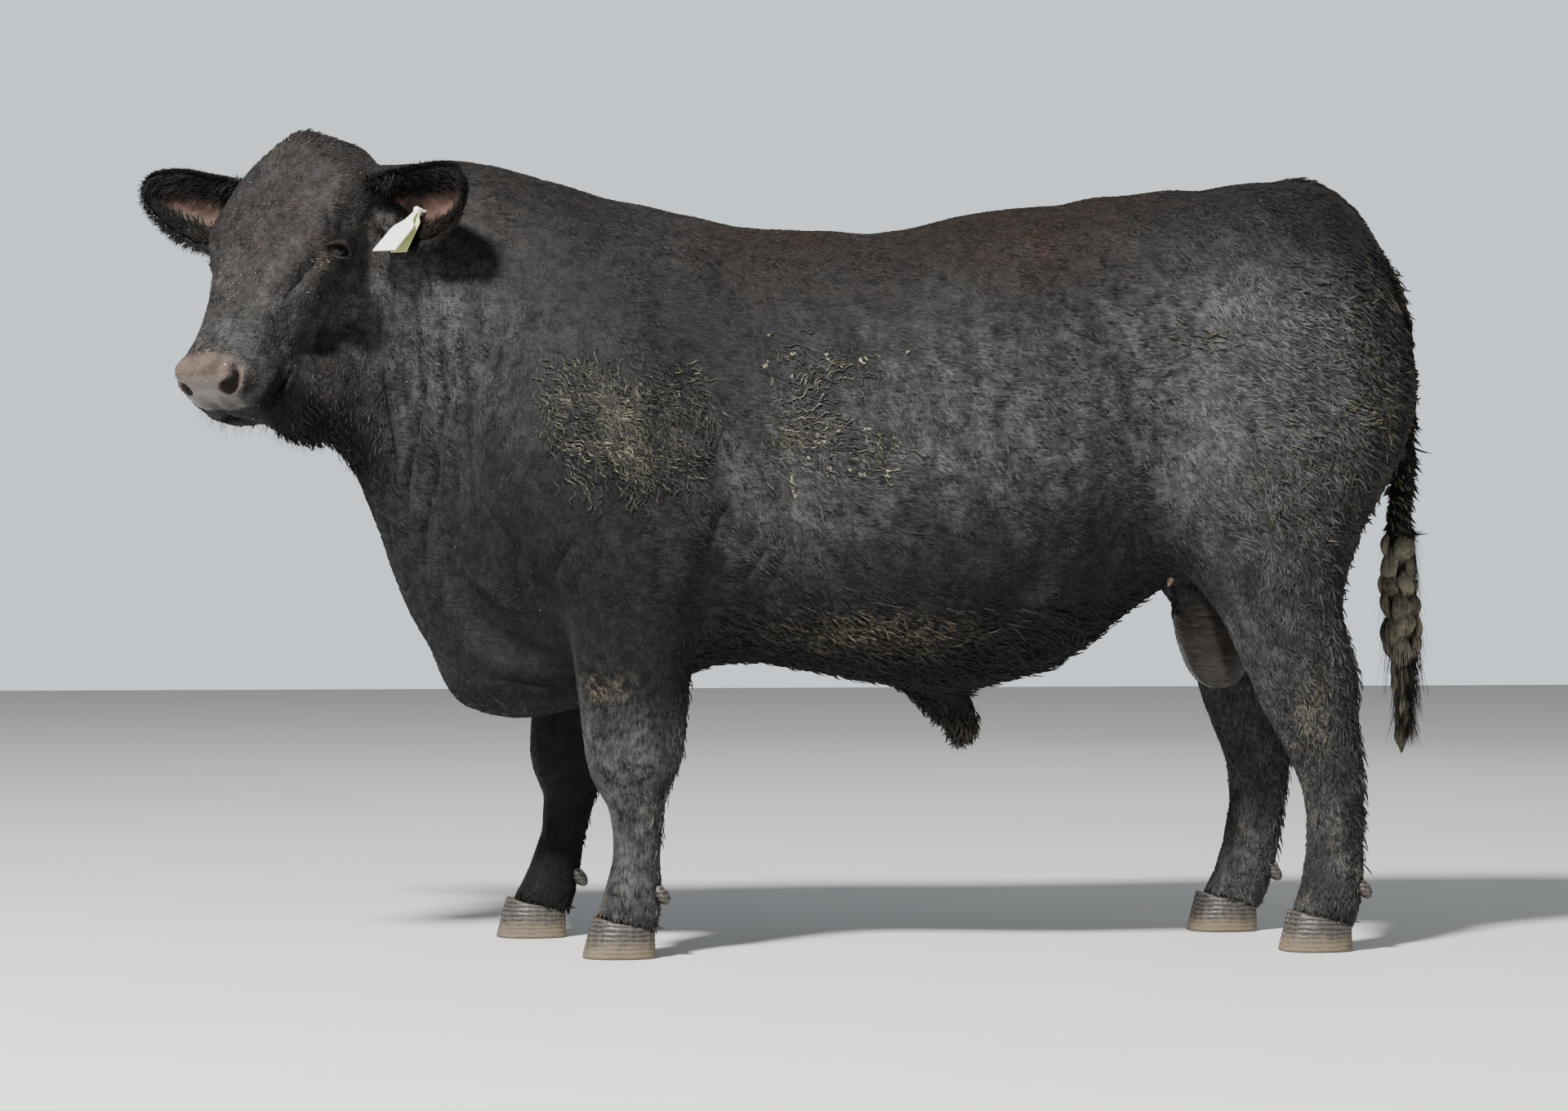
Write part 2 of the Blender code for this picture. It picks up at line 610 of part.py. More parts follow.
def claw(name, foot, which):
    """One claw: level rings on a flat sole, cut to the coronet's slope.

    Seen from above, the wall next to the slot is nearly straight. The outer wall is a rounded arc
    that comes in to a toe beside the slot. The front wall leans back as it rises.
    """
    middle = foot_middle(foot)
    rise = np.linspace(0.0, 1.0, 4)[:, None]
    turn = np.linspace(0.0, 2 * math.pi, 18, endpoint=False)[None, :]
    along, arc = np.cos(turn), np.sin(turn)
    corner = 0.20 * (1 - along * 0.4)
    toe_in = 0.14 * np.clip(along, 0, 1) ** 3
    outer = corner + (0.80 + 0.08 * along) * np.abs(arc) ** 0.72 - toe_in
    across = np.where(arc >= 0, outer, corner * (1 - np.abs(arc) ** 0.35))
    toe = CLAW_LENGTH * (0.56 - 0.20 * rise)
    heel = CLAW_LENGTH * (0.44 - 0.02 * rise)
    x = middle[0] + (heel - toe) / 2 - along * (toe + heel) / 2
    width = CLAW_WIDTH * (1.03 - 0.10 * rise)
    y = middle[1] + which * (CLAW_SLOT / 2 + across * width)
    z = np.broadcast_to(rise * CLAW_HEIGHT, x.shape)
    piece = shell(name, np.stack([x, y, z], -1))
    return boolean(piece, [coronet_region(foot, -GAP)], "INTERSECT")


def dewclaw(name, foot, which, grow=0.0):
    """A blunt horn behind the fetlock."""
    middle = foot_middle(foot)
    stations, side, step, hinge = LEGS[foot][:4]
    rear = np.interp(DEWCLAW_HEIGHT, [row[0] for row in stations[::-1]], [row[2] for row in stations[::-1]])
    x = rear + step * (1.0 - DEWCLAW_HEIGHT / hinge) - 0.004
    y = middle[1] + which * 0.027
    down = unit((0.62, 0.0, -0.78))
    radii = (DEWCLAW_RADIUS * 1.35 + grow, DEWCLAW_RADIUS + grow, DEWCLAW_RADIUS * 0.85 + grow)
    return ball(name, (x, y, DEWCLAW_HEIGHT), radii, (down, ACROSS, np.cross(down, ACROSS)), 5, 8)


def ear_axes(side):
    """Where an ear points, which way its cup opens, and the way up across its breadth."""
    swing = EAR_SWING[side]
    point = unit(side * CHEEK * math.cos(swing) + AHEAD * math.sin(swing) + UP * EAR_RISE[side])
    opens = AHEAD * math.cos(swing) - side * CHEEK * math.sin(swing) - UP * 0.18
    opens = unit(opens - point * np.dot(opens, point))
    breadth = np.cross(point, opens)
    return point, opens, breadth * np.sign(breadth[2])


def ear_surface(side, s, t, depth):
    """Points on an ear: s runs from root to tip, t from lower to upper edge, depth in from its back.

    The breadth follows a power of a sine along the ear, bent round an arc that opens from nearly
    closed at the root to shallow at the tip. The middle line sags with a sine of s.
    """
    point, opens, breadth = ear_axes(side)
    leaf = EAR_BREADTH * np.sin(np.pi * np.clip(s, 0.0, 1.0) ** 0.72) ** 0.46
    half = np.maximum(leaf, 0.052 * (1 - s) ** 1.5 + 0.002)
    bend = np.radians(160.0 - 116.0 * s**0.36)
    radius = half / bend
    base = on_head(EAR_PLACE[0], side * EAR_PLACE[1], EAR_PLACE[2])
    out = np.sin(t * bend) * (radius - depth)
    back = radius * 0.4 - np.cos(t * bend) * (radius - depth)
    sag = EAR_SAG * np.sin(np.pi * s**0.8)
    return (base + (s * EAR_LENGTH)[..., None] * point + (out - sag)[..., None] * breadth
            + back[..., None] * opens)


def ear(name, side):
    """A leaf-shaped cup: rolled to a solid stalk at the root, open and thin towards the tip."""
    rows, across = 12, 9
    s, t = np.meshgrid(np.linspace(0.0, 1.0, rows), np.linspace(-1.0, 1.0, across), indexing="ij")
    stalk = 0.014 * (1 - s) ** 5
    thick = np.minimum(EAR_THICKNESS * (1.0 - 0.45 * s) + stalk, 0.030 * (1.0 - s) + 0.0008)
    backs = ear_surface(side, s, t, np.zeros_like(s))
    cup = ear_surface(side, s, t[:, ::-1] * 0.96, thick)
    return shell(name, np.concatenate([backs, cup], axis=1))


def lock(row):
    """One flat lock: its root sunk in the core, its middle swollen, its tip drawn in to a point."""
    root, turn, length, half_width, half_thick, stand, aside = row
    core = np.array(SWITCH_CORE)
    s = np.linspace(0.0, 1.0, 6)
    z = root - s * length
    level = np.maximum(z, core[-1, 2])
    centre = np.interp(-level, -core[:, 2], core[:, 0])
    hold = np.interp(-level, -core[:, 2], core[:, 3]) - 0.008
    out = hold + (stand + 0.008) * np.sin(np.pi * np.clip(1.25 * s, 0.0, 1.0)) + 0.006 * s
    angle = np.radians(turn + aside * s**2)
    middle = np.stack([centre + out * np.cos(angle), out * np.sin(angle), z], 1)
    run = np.gradient(middle, axis=0)
    run /= np.linalg.norm(run, axis=1)[:, None]
    side = np.cross(run, np.stack([np.cos(angle), np.sin(angle), 0.0 * s], 1))
    side /= np.linalg.norm(side, axis=1)[:, None]
    swell = np.sin(np.pi * (0.14 + 0.83 * s)) ** 0.75
    thick = half_thick * swell + 0.0008
    even = np.full(len(s), 2.0)
    return shell("lock", ring_points(middle, side, np.cross(side, run), half_width * swell + 0.0010,
                                     thick, thick, even, even, 6))


def build_switch():
    """The tail's switch: a short core and its locks, joined in one union and thinned."""
    switch = tube("tail_switch", SWITCH_CORE, 6, 12)
    group = bpy.data.collections.new("locks")
    for row in LOCKS:
        group.objects.link(lock(row))
    change = switch.modifiers.new("change", "BOOLEAN")
    change.operation = "UNION"
    change.operand_type = "COLLECTION"
    change.collection = group
    change.solver = "MANIFOLD"
    settle(switch)
    for piece in list(group.objects):
        bpy.data.objects.remove(piece, do_unlink=True)
    bpy.data.collections.remove(group)
    largest(switch)
    return thinned(switch, SWITCH_TRIANGLES)


def plate(name, outline, origin, along, across, thickness):
    """A flat plate with mirrored edges: its outline is given as half width and distance along."""
    half = np.array(outline)
    edge = np.concatenate([half, half[::-1] * (-1, 1)])
    flat = origin + edge[:, 1:] * along + edge[:, :1] * across
    normal = unit(np.cross(along, across)) * thickness / 2
    count = len(edge)
    sides = [(i, (i + 1) % count, count + (i + 1) % count, count + i) for i in range(count)]
    faces = sides + [tuple(range(count)), tuple(range(2 * count - 1, count - 1, -1))]
    return solid(name, np.concatenate([flat - normal, flat + normal]), faces)


def rod(name, start, end, radius, sides=10):
    """A round bar between two points."""
    run = unit(np.subtract(end, start))
    side = unit(np.cross(run, UP))
    middle = np.stack([start, end])
    size, even = np.full(2, radius), np.full(2, 2.0)
    return shell(name, ring_points(middle, fixed(2, side), fixed(2, np.cross(run, side)),
                                   size, size, size, even, even, sides))


def build_tag(ear_piece):
    """The tag: a stud square through the ear with a button behind, and two plates hung before the cup."""
    point, opens, breadth = ear_axes(1)
    s, t = np.array(TAG_PLACE[0]), np.array(TAG_PLACE[1])
    outside, inside = np.array(0.0), np.array(EAR_THICKNESS)
    back, cup = ear_surface(1, s, t, outside), ear_surface(1, s, t, inside)
    along_ear = ear_surface(1, s + 0.02, t, outside) - ear_surface(1, s - 0.02, t, outside)
    up_ear = ear_surface(1, s, t + 0.02, outside) - ear_surface(1, s, t - 0.02, outside)
    through_ear = unit(np.cross(along_ear, up_ear))
    through_ear = through_ear * np.sign(np.dot(through_ear, cup - back))
    axes = (point, opens, breadth)
    boolean(ear_piece, [rod("hole", back - 0.01 * through_ear, cup + 0.02 * through_ear, STUD_RADIUS + GAP)],
            "DIFFERENCE")
    head, button = cup + TAG_STAND * through_ear, back - 0.0015 * through_ear
    front = plate("ear_tag", TAG_FRONT, head, unit(opens * 0.84 - breadth * 0.58), point, TAG_THICKNESS)
    boolean(front, [ball("boss", head, (BOSS_RADIUS,) * 3, axes, 4, 8),
                    rod("stud", button, head, STUD_RADIUS),
                    rod("button", button, button - 0.004 * through_ear, BUTTON_RADIUS, 12)], "UNION")
    hook = cup + HOOK_STAND * through_ear
    hang = unit(opens * 0.66 - breadth * 0.75)
    second = plate("ear_tag_second", TAG_SECOND, hook, hang, point, TAG_THICKNESS)
    boolean(second, [ball("room", head, (BOSS_RADIUS + GAP,) * 3, axes, 4, 8),
                     rod("room", cup - 0.01 * through_ear, head, STUD_RADIUS + GAP)], "DIFFERENCE")
    return [front, largest(second)]


def eye_axes(side):
    """Out of the eye, along its slit and across it."""
    out = unit(side * CHEEK * 0.86 + AHEAD * 0.50 + UP * 0.04)
    slit = unit(np.cross(out, UP) * side + UP * 0.22)
    slit = unit(slit - out * np.dot(slit, out))
    return out, slit, np.cross(out, slit)


def almond(name, side):
    """The cutter for the eye opening: pointed-oval rings from inside the eyeball to outside the lids."""
    out, slit, over = eye_axes(side)
    centre = on_head(EYE_PLACE[0], side * EYE_PLACE[1], EYE_PLACE[2])
    reach = np.array((0.004, 0.030, 0.050))
    grow = reach / 0.021
    middle = centre + reach[:, None] * out
    power = np.full(3, 1.75)
    return shell(name, ring_points(middle, fixed(3, slit), fixed(3, over), EYE_SLIT[0] * grow,
                                   EYE_SLIT[1] * grow, EYE_SLIT[1] * grow, power, power, 16))


def mouth_cutter():
    """A thin flat band round the muzzle, from one corner of the mouth to the other."""
    sweep = np.linspace(-1.0, 1.0, 17)
    angle = sweep * math.radians(112.0)
    along = 0.462 + 0.062 * np.cos(angle) - 0.040 * np.clip(np.abs(sweep) - 0.80, 0.0, 1.0) * 5
    out = 0.074 * np.sin(angle)
    above = -0.136 - 0.012 * sweep**2
    middle = POLL + along[:, None] * FACE + out[:, None] * CHEEK + above[:, None] * BROW
    run = np.gradient(middle, axis=0)
    run /= np.linalg.norm(run, axis=1)[:, None]
    side = np.cross(run, fixed(len(sweep), BROW))
    side /= np.linalg.norm(side, axis=1)[:, None]
    deep = 0.017 - 0.006 * sweep**2
    high = np.full(len(sweep), 0.0021)
    power = np.full(len(sweep), 2.0)
    return shell("mouth", ring_points(middle, side, np.cross(side, run), deep, high, high, power, power, 6))


def nostril_cutters(side):
    """The comma of a nostril: a wide round pocket, and a narrow tail that curls out and up."""
    inward = unit(FACE * 0.86 + side * CHEEK * 0.42 + BROW * 0.20)
    lift = unit(BROW * 0.42 + side * CHEEK * 0.90)
    lift = unit(lift - inward * np.dot(lift, inward))
    axes = (inward, np.cross(inward, lift), lift)
    pocket = ball("pocket", on_head(0.514, side * 0.052, -0.050), (0.034, 0.0165, 0.0235), axes, 6, 12)
    upward = unit(BROW * 0.80 + side * CHEEK * 0.50 - FACE * 0.3)
    upward = unit(upward - inward * np.dot(upward, inward))
    curl_axes = (inward, np.cross(inward, upward), upward)
    curl = ball("curl", on_head(0.502, side * 0.071, -0.036), (0.022, 0.0070, 0.019), curl_axes, 6, 8)
    return [pocket, curl]


def press(piece, forms, place):
    """Moves the skin along its normals by soft round swellings and hollows.

    Each form has three numbers for its middle, three for its radii and one for its height. The
    move is the height times exp of minus the squared distance over the radii.
    """
    count = len(piece.data.vertices)
    flat, turned = np.empty(count * 3), np.empty(count * 3)
    piece.data.vertices.foreach_get("co", flat)
    piece.data.vertices.foreach_get("normal", turned)
    points, normals = flat.reshape(-1, 3), turned.reshape(-1, 3)
    local = place(points)
    move = np.zeros(count)
    for form in forms:
        away = (local - np.array(form[:3])) / np.array(form[3:6])
        move += form[6] * np.exp(-(away**2).sum(1))
    points = points + normals * move[:, None]
    piece.data.vertices.foreach_set("co", points.ravel())
    piece.data.update()


def head_place(points):
    """Turns world points into along, out and above on the head."""
    return (points - POLL) @ np.stack([FACE, CHEEK, BROW], 1)


def body_place(points):
    """World points stay as they are."""
    return points


# Swellings and hollows of the head on both sides: along, out, above, three radii, height
HEAD_RELIEF = (
    (0.245, 0.100, -0.050, 0.050, 0.050, 0.020, -0.005),
    (0.140, 0.125, -0.060, 0.030, 0.050, 0.022, -0.006),
    (0.275, 0.085, -0.090, 0.060, 0.050, 0.010, 0.005),
    (0.385, 0.080, -0.080, 0.045, 0.050, 0.030, -0.006),
    (0.300, 0.085, -0.190, 0.050, 0.050, 0.030, -0.008),
    (0.520, 0.000, -0.120, 0.020, 0.010, 0.040, -0.002),
)

# Muscles and hollows of the body on both sides: x, y, z, three radii, height
BODY_RELIEF = (
    (-0.520, 0.300, 0.880, 0.070, 0.120, 0.090, 0.012),
    (-0.180, 0.340, 0.760, 0.060, 0.120, 0.090, 0.010),
    (-0.300, 0.330, 0.950, 0.050, 0.150, 0.200, 0.006),
    (-0.060, 0.330, 0.900, 0.040, 0.150, 0.220, -0.010),
    (0.560, 0.300, 1.180, 0.090, 0.150, 0.090, -0.012),
    (0.600, 0.280, 1.330, 0.050, 0.080, 0.050, 0.010),
    (1.060, 0.120, 1.260, 0.050, 0.060, 0.050, 0.008),
    (0.700, 0.330, 0.800, 0.070, 0.150, 0.090, 0.010),
    (0.560, 0.300, 0.720, 0.050, 0.150, 0.100, -0.008),
    (-0.630, 0.150, 0.900, 0.040, 0.120, 0.160, -0.008),
)


def both_sides(forms):
    """Every form, and its mirror image across the midline."""
    return [form for row in forms for form in (row, (row[0], -row[1]) + tuple(row[2:]))]


def head_and_neck_pieces():
    """The overlapping forms of neck, dewlap and head."""
    pieces = [
        shell("head", head_rings()),
        shell("neck", turned_rings(NECK, 40)),
        shell("dewlap", turned_rings(DEWLAP, 70)),
    ]
    for form in both_sides(HEAD_FORMS):
        pieces.append(ball("form", on_head(*form[:3]), form[3:], (FACE, CHEEK, BROW)))
    return pieces


def build_head():
    """The head as one closed piece, with its lids, eye openings, nostrils and the line of its mouth."""
    head = melted("head", head_and_neck_pieces(), HEAD_VOXEL, 6)
    press(head, both_sides(HEAD_RELIEF), head_place)
    boolean(head, [head_region(MARGIN)], "INTERSECT")
    largest(head)
    thinned(head, HEAD_TRIANGLES)
    boolean(head, [head_region(0.0)], "INTERSECT")
    for side in (1, -1):
        axes = eye_axes(side)
        centre = on_head(EYE_PLACE[0], side * EYE_PLACE[1], EYE_PLACE[2])
        lid = EYE_RADIUS + LID_THICKNESS
        boolean(head, [ball("lids", centre, (lid,) * 3, axes, 9, 16)], "UNION")
        socket = EYE_RADIUS + GAP
        boolean(head, [ball("socket", centre, (socket,) * 3, axes, 9, 16)], "DIFFERENCE")
        boolean(head, [almond("slit", side)], "DIFFERENCE")
        boolean(head, nostril_cutters(side), "DIFFERENCE")
    boolean(head, [mouth_cutter()], "DIFFERENCE")
    return largest(head)


def build_eye(name, side):
    """An eyeball in its socket."""
    centre = on_head(EYE_PLACE[0], side * EYE_PLACE[1], EYE_PLACE[2])
    return ball(name, centre, (EYE_RADIUS,) * 3, eye_axes(side), 9, 16)


def build_body():
    """Torso, neck and legs as one skin behind the head's cut."""
    pieces = head_and_neck_pieces() + [shell("trunk", trunk_rings())]
    pieces += [shell(name, leg_rings(*LEGS[name][:4])) for name in LEGS]
    body = melted("torso", pieces, BODY_VOXEL, 6)
    press(body, both_sides(BODY_RELIEF), body_place)
    boolean(body, [head_region(-MARGIN)], "DIFFERENCE")
    largest(body)
    thinned(body, BODY_TRIANGLES)
    boolean(body, [head_region(GAP)], "DIFFERENCE")
    return largest(body)


def build_feet(lower):
    """Claws and dewclaws of one leg, for which its lower stretch makes room."""
    foot = lower.name.replace("_lower", "")
    side = LEGS[foot][1]
    boolean(lower, [coronet_region(foot, 0.0)], "DIFFERENCE")
    pieces = []
    for which, word in ((side, "outer"), (-side, "inner")):
        pieces.append(claw(foot + "_claw_" + word, foot, which))
        boolean(lower, [dewclaw("room", foot, which, GAP)], "DIFFERENCE")
        pieces.append(dewclaw(foot + "_dewclaw_" + word, foot, which))
    largest(lower)
    return pieces


def build_ear(name, side, behind):
    """An ear whose root follows the surfaces that it grows on, a gap off them."""
    piece = ear(name, side)
    boolean(piece, [copied(other, "room") for other in behind], "DIFFERENCE")
    largest(piece)
    shift = ear_axes(side)[0] * GAP * 1.3
    for vert in piece.data.vertices:
        vert.co += type(vert.co)(shift)
    return piece


def paint(piece):
    """Gives a piece a material of its own, by what its name says it is."""
    colour, roughness = next(finish for word, finish in FINISHES if word in piece.name)
    material = bpy.data.materials.new(piece.name)
    material.use_nodes = True
    shader = material.node_tree.nodes["Principled BSDF"]
    shader.inputs["Base Color"].default_value = colour + (1.0,)
    shader.inputs["Roughness"].default_value = roughness
    piece.data.materials.clear()
    piece.data.materials.append(material)
    piece.data.shade_smooth()
    piece.data.set_sharp_from_angle(angle=math.radians(40.0))


def centre_on_floor(pieces):
    """Moves everything so that the origin is under the middle of the bounding box, on the soles."""
    corners = np.array([tuple(vert.co) for piece in pieces for vert in piece.data.vertices])
    low, high = corners.min(0), corners.max(0)
    shift = np.array(((low[0] + high[0]) / 2, (low[1] + high[1]) / 2, low[2]))
    for piece in pieces:
        for vert in piece.data.vertices:
            vert.co -= type(vert.co)(shift)


def main():
    clear_scene()
    head = build_head()
    body = build_body()
    neck = parted(body, "neck", neck_region)
    brisket = parted(body, "brisket", brisket_region)
    pieces = [head, body, neck, brisket]
    for name in LEGS:
        lower = parted(body, name + "_lower", leg_region(name, False))
        pieces.append(parted(body, name + "_upper", leg_region(name, True)))
        pieces += [lower] + build_feet(lower)
    for name, stations, count in (("sheath", SHEATH, 8), ("scrotum", SCROTUM, 8), ("tail", TAIL, 20)):
        boolean(body, [tube("room", stations, count, 12, GAP)], "DIFFERENCE")
        pieces.append(tube(name, stations, count, 12))
    pieces.append(build_switch())
    largest(body)
    for side, word in ((1, "left"), (-1, "right")):
        pieces.append(build_eye("eye_" + word, side))
        ear_piece = build_ear("ear_" + word, side, (head, neck))
        pieces.append(ear_piece)
        if side == 1:
            pieces += build_tag(ear_piece)
    for piece in pieces:
        paint(piece)
    centre_on_floor(pieces)


main()
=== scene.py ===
import logging
import math
from collections.abc import Iterable, Iterator
from dataclasses import dataclass
from enum import Enum

import bpy
import numpy as np
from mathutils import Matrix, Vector


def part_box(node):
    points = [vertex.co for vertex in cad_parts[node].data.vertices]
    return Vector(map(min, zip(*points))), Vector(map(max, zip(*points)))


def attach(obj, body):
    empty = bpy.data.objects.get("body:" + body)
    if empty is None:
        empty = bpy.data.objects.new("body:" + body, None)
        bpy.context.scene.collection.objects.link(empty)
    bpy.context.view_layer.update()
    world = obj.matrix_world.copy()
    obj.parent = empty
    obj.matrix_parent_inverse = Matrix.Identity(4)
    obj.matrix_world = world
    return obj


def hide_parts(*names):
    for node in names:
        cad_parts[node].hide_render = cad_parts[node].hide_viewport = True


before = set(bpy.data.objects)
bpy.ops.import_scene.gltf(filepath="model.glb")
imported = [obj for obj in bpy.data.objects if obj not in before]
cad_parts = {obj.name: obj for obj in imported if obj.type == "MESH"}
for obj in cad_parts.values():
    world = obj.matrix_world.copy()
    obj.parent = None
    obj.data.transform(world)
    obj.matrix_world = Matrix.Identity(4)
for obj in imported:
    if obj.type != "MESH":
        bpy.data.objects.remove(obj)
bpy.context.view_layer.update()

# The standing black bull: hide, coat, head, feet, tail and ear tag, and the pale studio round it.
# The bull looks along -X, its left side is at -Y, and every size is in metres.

Array = np.ndarray
LOG = logging.getLogger("bull")
BODY = "root"
UP = np.array((0.0, 0.0, 1.0))
# The least length that is divided by, and the gap within which two corners are one.
TINY = 1e-9
WELD = 1e-5

FLESH = (
    "head", "neck", "brisket", "torso", "tail", "sheath", "scrotum",
    "foreleg_left_upper", "foreleg_left_lower", "foreleg_right_upper", "foreleg_right_lower",
    "hindleg_left_upper", "hindleg_left_lower", "hindleg_right_upper", "hindleg_right_lower",
)
FEET = ("foreleg_left", "foreleg_right", "hindleg_left", "hindleg_right")
SIDES = {"left": 1.0, "right": -1.0}
# Markings that hide and coat share: mud, tan and brown are the coat's own colours, the fourth is painted
# sheen and sunlight with some grey dust, and the fifth is painted shade in folds and hollows.
MARKS = ("mud", "tan", "brown", "bloom", "crease")


# Whole-array sums.
def unit(vectors: Array) -> Array:
    """Vectors of length one: each is divided by the root of the sum of its squares."""
    return vectors / np.maximum(np.linalg.norm(vectors, axis=-1, keepdims=True), TINY)


def ease(values: Array, low: float, high: float) -> Array:
    """A soft step from 0 at low to 1 at high: 3 t squared less 2 t cubed."""
    t = np.clip((values - low) / (high - low), 0.0, 1.0)
    return t * t * (3.0 - 2.0 * t)


def mound(points: Array, centre: tuple, radii: tuple) -> Array:
    """A soft round hump: exp of minus the squared distance over the radii."""
    away = (points - np.array(centre)) / np.array(radii)
    return np.exp(-(away ** 2).sum(-1))


@dataclass(frozen=True)
class Hump:
    """A soft round rise or hollow: its height, its middle and its radii."""

    height: float
    middle: tuple
    radii: tuple

    def at(self, points: Array) -> Array:
        """Its height over each point."""
        return self.height * mound(points, self.middle, self.radii)


def humps(points: Array, table: tuple[Hump, ...]) -> Array:
    """The sum of a table's humps over each point."""
    return sum(hump.at(points) for hump in table)


def folded(points: Array, side: float = 1.0) -> Array:
    """The same places with their second measure all on one side, so that both flanks are alike."""
    return np.stack([points[:, 0], side * np.abs(points[:, 1]), points[:, 2]], axis=1)


def turned(ways: Array, axes: Array, angle: Array) -> Array:
    """Directions turned about axes at right angles to them: cosine of each, sine of the cross product."""
    return ways * np.cos(angle)[:, None] + np.cross(axes, ways) * np.sin(angle)[:, None]


@dataclass(frozen=True)
class Ripple:
    """A smooth wandering value in space: the mean of sines along seeded directions."""

    seed: int
    size: float
    waves: int = 7

    def at(self, points: Array) -> Array:
        """The value at each point, from about -1 to 1.

        Args:
            points: places, one row each.

        Returns:
            One value for each place.
        """
        draw = np.random.default_rng(self.seed)
        lines = unit(draw.normal(size=(self.waves, 3))) * draw.uniform(0.6, 1.6, (self.waves, 1))
        phase = points @ lines.T * (2.0 * math.pi / self.size) + draw.uniform(0, 6.28, self.waves)
        return np.sin(phase).sum(1) / math.sqrt(self.waves) * 0.9


def path_distance(points: Array, path: Array) -> tuple[Array, Array]:
    """How far points lie from a path of straight stretches.

    For each stretch the nearest place is the start plus t times the run, t held between 0 and 1.

    Args:
        points: places, one row each.
        path: the path's corners, one row each.

    Returns:
        The distance of each point, and how far along the whole path its nearest place is, 0 to 1.
    """
    best = np.full(len(points), 1e9)
    along = np.zeros(len(points))
    stretches = len(path) - 1
    for i, (start, end) in enumerate(zip(path[:-1], path[1:])):
        run = end - start
        t = np.clip((points - start) @ run / max(run @ run, TINY), 0.0, 1.0)
        gap = np.linalg.norm(points - start - t[:, None] * run, axis=1)
        nearer = gap < best
        best[nearer] = gap[nearer]
        along[nearer] = (i + t[nearer]) / stretches
    return best, along


def grid_faces(rows: int, columns: int, closed: bool = False) -> Array:
    """The four-cornered faces of a grid of points laid out row by row.

    Args:
        rows: points along the first parameter.
        columns: points along the second parameter.
        closed: whether the last column joins the first.

    Returns:
        Four indices for each face.
    """
    last = columns if closed else columns - 1
    r, c = np.meshgrid(np.arange(rows - 1), np.arange(last), indexing="ij")
    after = (c + 1) % columns
    quads = np.stack([r * columns + c, r * columns + after, (r + 1) * columns + after,
                      (r + 1) * columns + c], axis=-1)
    return quads.reshape(-1, 4)


def halved(quads: Array) -> Array:
    """Two triangles for each four-cornered face."""
    return np.concatenate([quads[:, (0, 1, 2)], quads[:, (0, 2, 3)]])


def fan(ring: Array, hub: int) -> Array:
    """Triangles from each stretch of a ring of points to one hub."""
    return np.stack([ring, np.roll(ring, -1), np.full(len(ring), hub)], axis=1)


def polar(steps: Array, around: int) -> tuple[Array, Array]:
    """Grids of the given steps and of as many angles all round as asked."""
    return np.meshgrid(steps, np.linspace(0, 2 * math.pi, around, False), indexing="ij")


def mesh_object(name: str, points: Array, faces: Array, finish: bpy.types.Material | None = None,
                smooth: bool = True) -> bpy.types.Object:
    """Puts arrays into a new mesh object at the origin.

    Args:
        name: the piece's name.
        points: the places of its corners.
        faces: corner indices, three or four in each row.
        finish: its material.
        smooth: whether its faces are shaded round.

    Returns:
        The linked object.
    """
    mesh = bpy.data.meshes.new(name)
    count, corners = faces.shape
    mesh.vertices.add(len(points))
    mesh.loops.add(count * corners)
    mesh.polygons.add(count)
    mesh.vertices.foreach_set("co", np.ascontiguousarray(points, dtype=np.float32).ravel())
    mesh.loops.foreach_set("vertex_index", np.ascontiguousarray(faces, dtype=np.int32).ravel())
    mesh.polygons.foreach_set("loop_start", np.arange(count, dtype=np.int32) * corners)
    mesh.polygons.foreach_set("use_smooth", np.full(count, smooth))
    mesh.update(calc_edges=True)
    mesh.validate()
    if finish:
        mesh.materials.append(finish)
    piece = bpy.data.objects.new(name, mesh)
    bpy.context.scene.collection.objects.link(piece)
    return piece


def settled(piece: bpy.types.Object) -> tuple[Array, Array, Array]:
    """A piece's mesh with its modifiers in place, as arrays.

    Returns:
        Its points, its triangles and its edges.
    """
    made = piece.evaluated_get(bpy.context.evaluated_depsgraph_get())
    mesh = made.to_mesh()
    mesh.calc_loop_triangles()
    points = np.empty(len(mesh.vertices) * 3, dtype=np.float32)
    mesh.vertices.foreach_get("co", points)
    triangles = np.empty(len(mesh.loop_triangles) * 3, dtype=np.int32)
    mesh.loop_triangles.foreach_get("vertices", triangles)
    edges = np.empty(len(mesh.edges) * 2, dtype=np.int32)
    mesh.edges.foreach_get("vertices", edges)
    made.to_mesh_clear()
    return points.reshape(-1, 3).astype(float), triangles.reshape(-1, 3), edges.reshape(-1, 2)


def reworked(points: Array, triangles: Array, steps: dict[str, dict[str, object]],
             smooth: bool = True) -> tuple[Array, Array, Array]:
    """Runs a mesh through modifiers on an object that is then removed.

    Args:
        points: the places of its corners.
        triangles: corner indices, three in each row.
        steps: each modifier's type with its settings, in order.
        smooth: whether its faces are shaded round.

    Returns:
        The new points, triangles and edges.
    """
    blank = mesh_object("blank", points, triangles, smooth=smooth)
    for kind, settings in steps.items():
        modifier = blank.modifiers.new(kind.lower(), kind)
        for key, value in settings.items():
            setattr(modifier, key, value)
    made = settled(blank)
    bpy.data.objects.remove(blank, do_unlink=True)
    return made


def joined(parts: Iterable[tuple[Array, Array]]) -> tuple[Array, Array]:
    """Several meshes as one: their points, and their faces counted on."""
    points, faces, base = [], [], 0
    for corners, own in parts:
        points.append(corners)
        faces.append(own + base)
        base += len(corners)
    return np.concatenate(points), np.concatenate(faces)


def face_turns(points: Array, triangles: Array) -> tuple[Array, Array]:
    """Each triangle's normal and its area: half the length of the cross product of two sides."""
    a, b, c = (points[triangles[:, i]] for i in range(3))
    cross = np.cross(b - a, c - a)
    size = np.linalg.norm(cross, axis=1)
    return cross / np.maximum(size, TINY)[:, None], size / 2.0


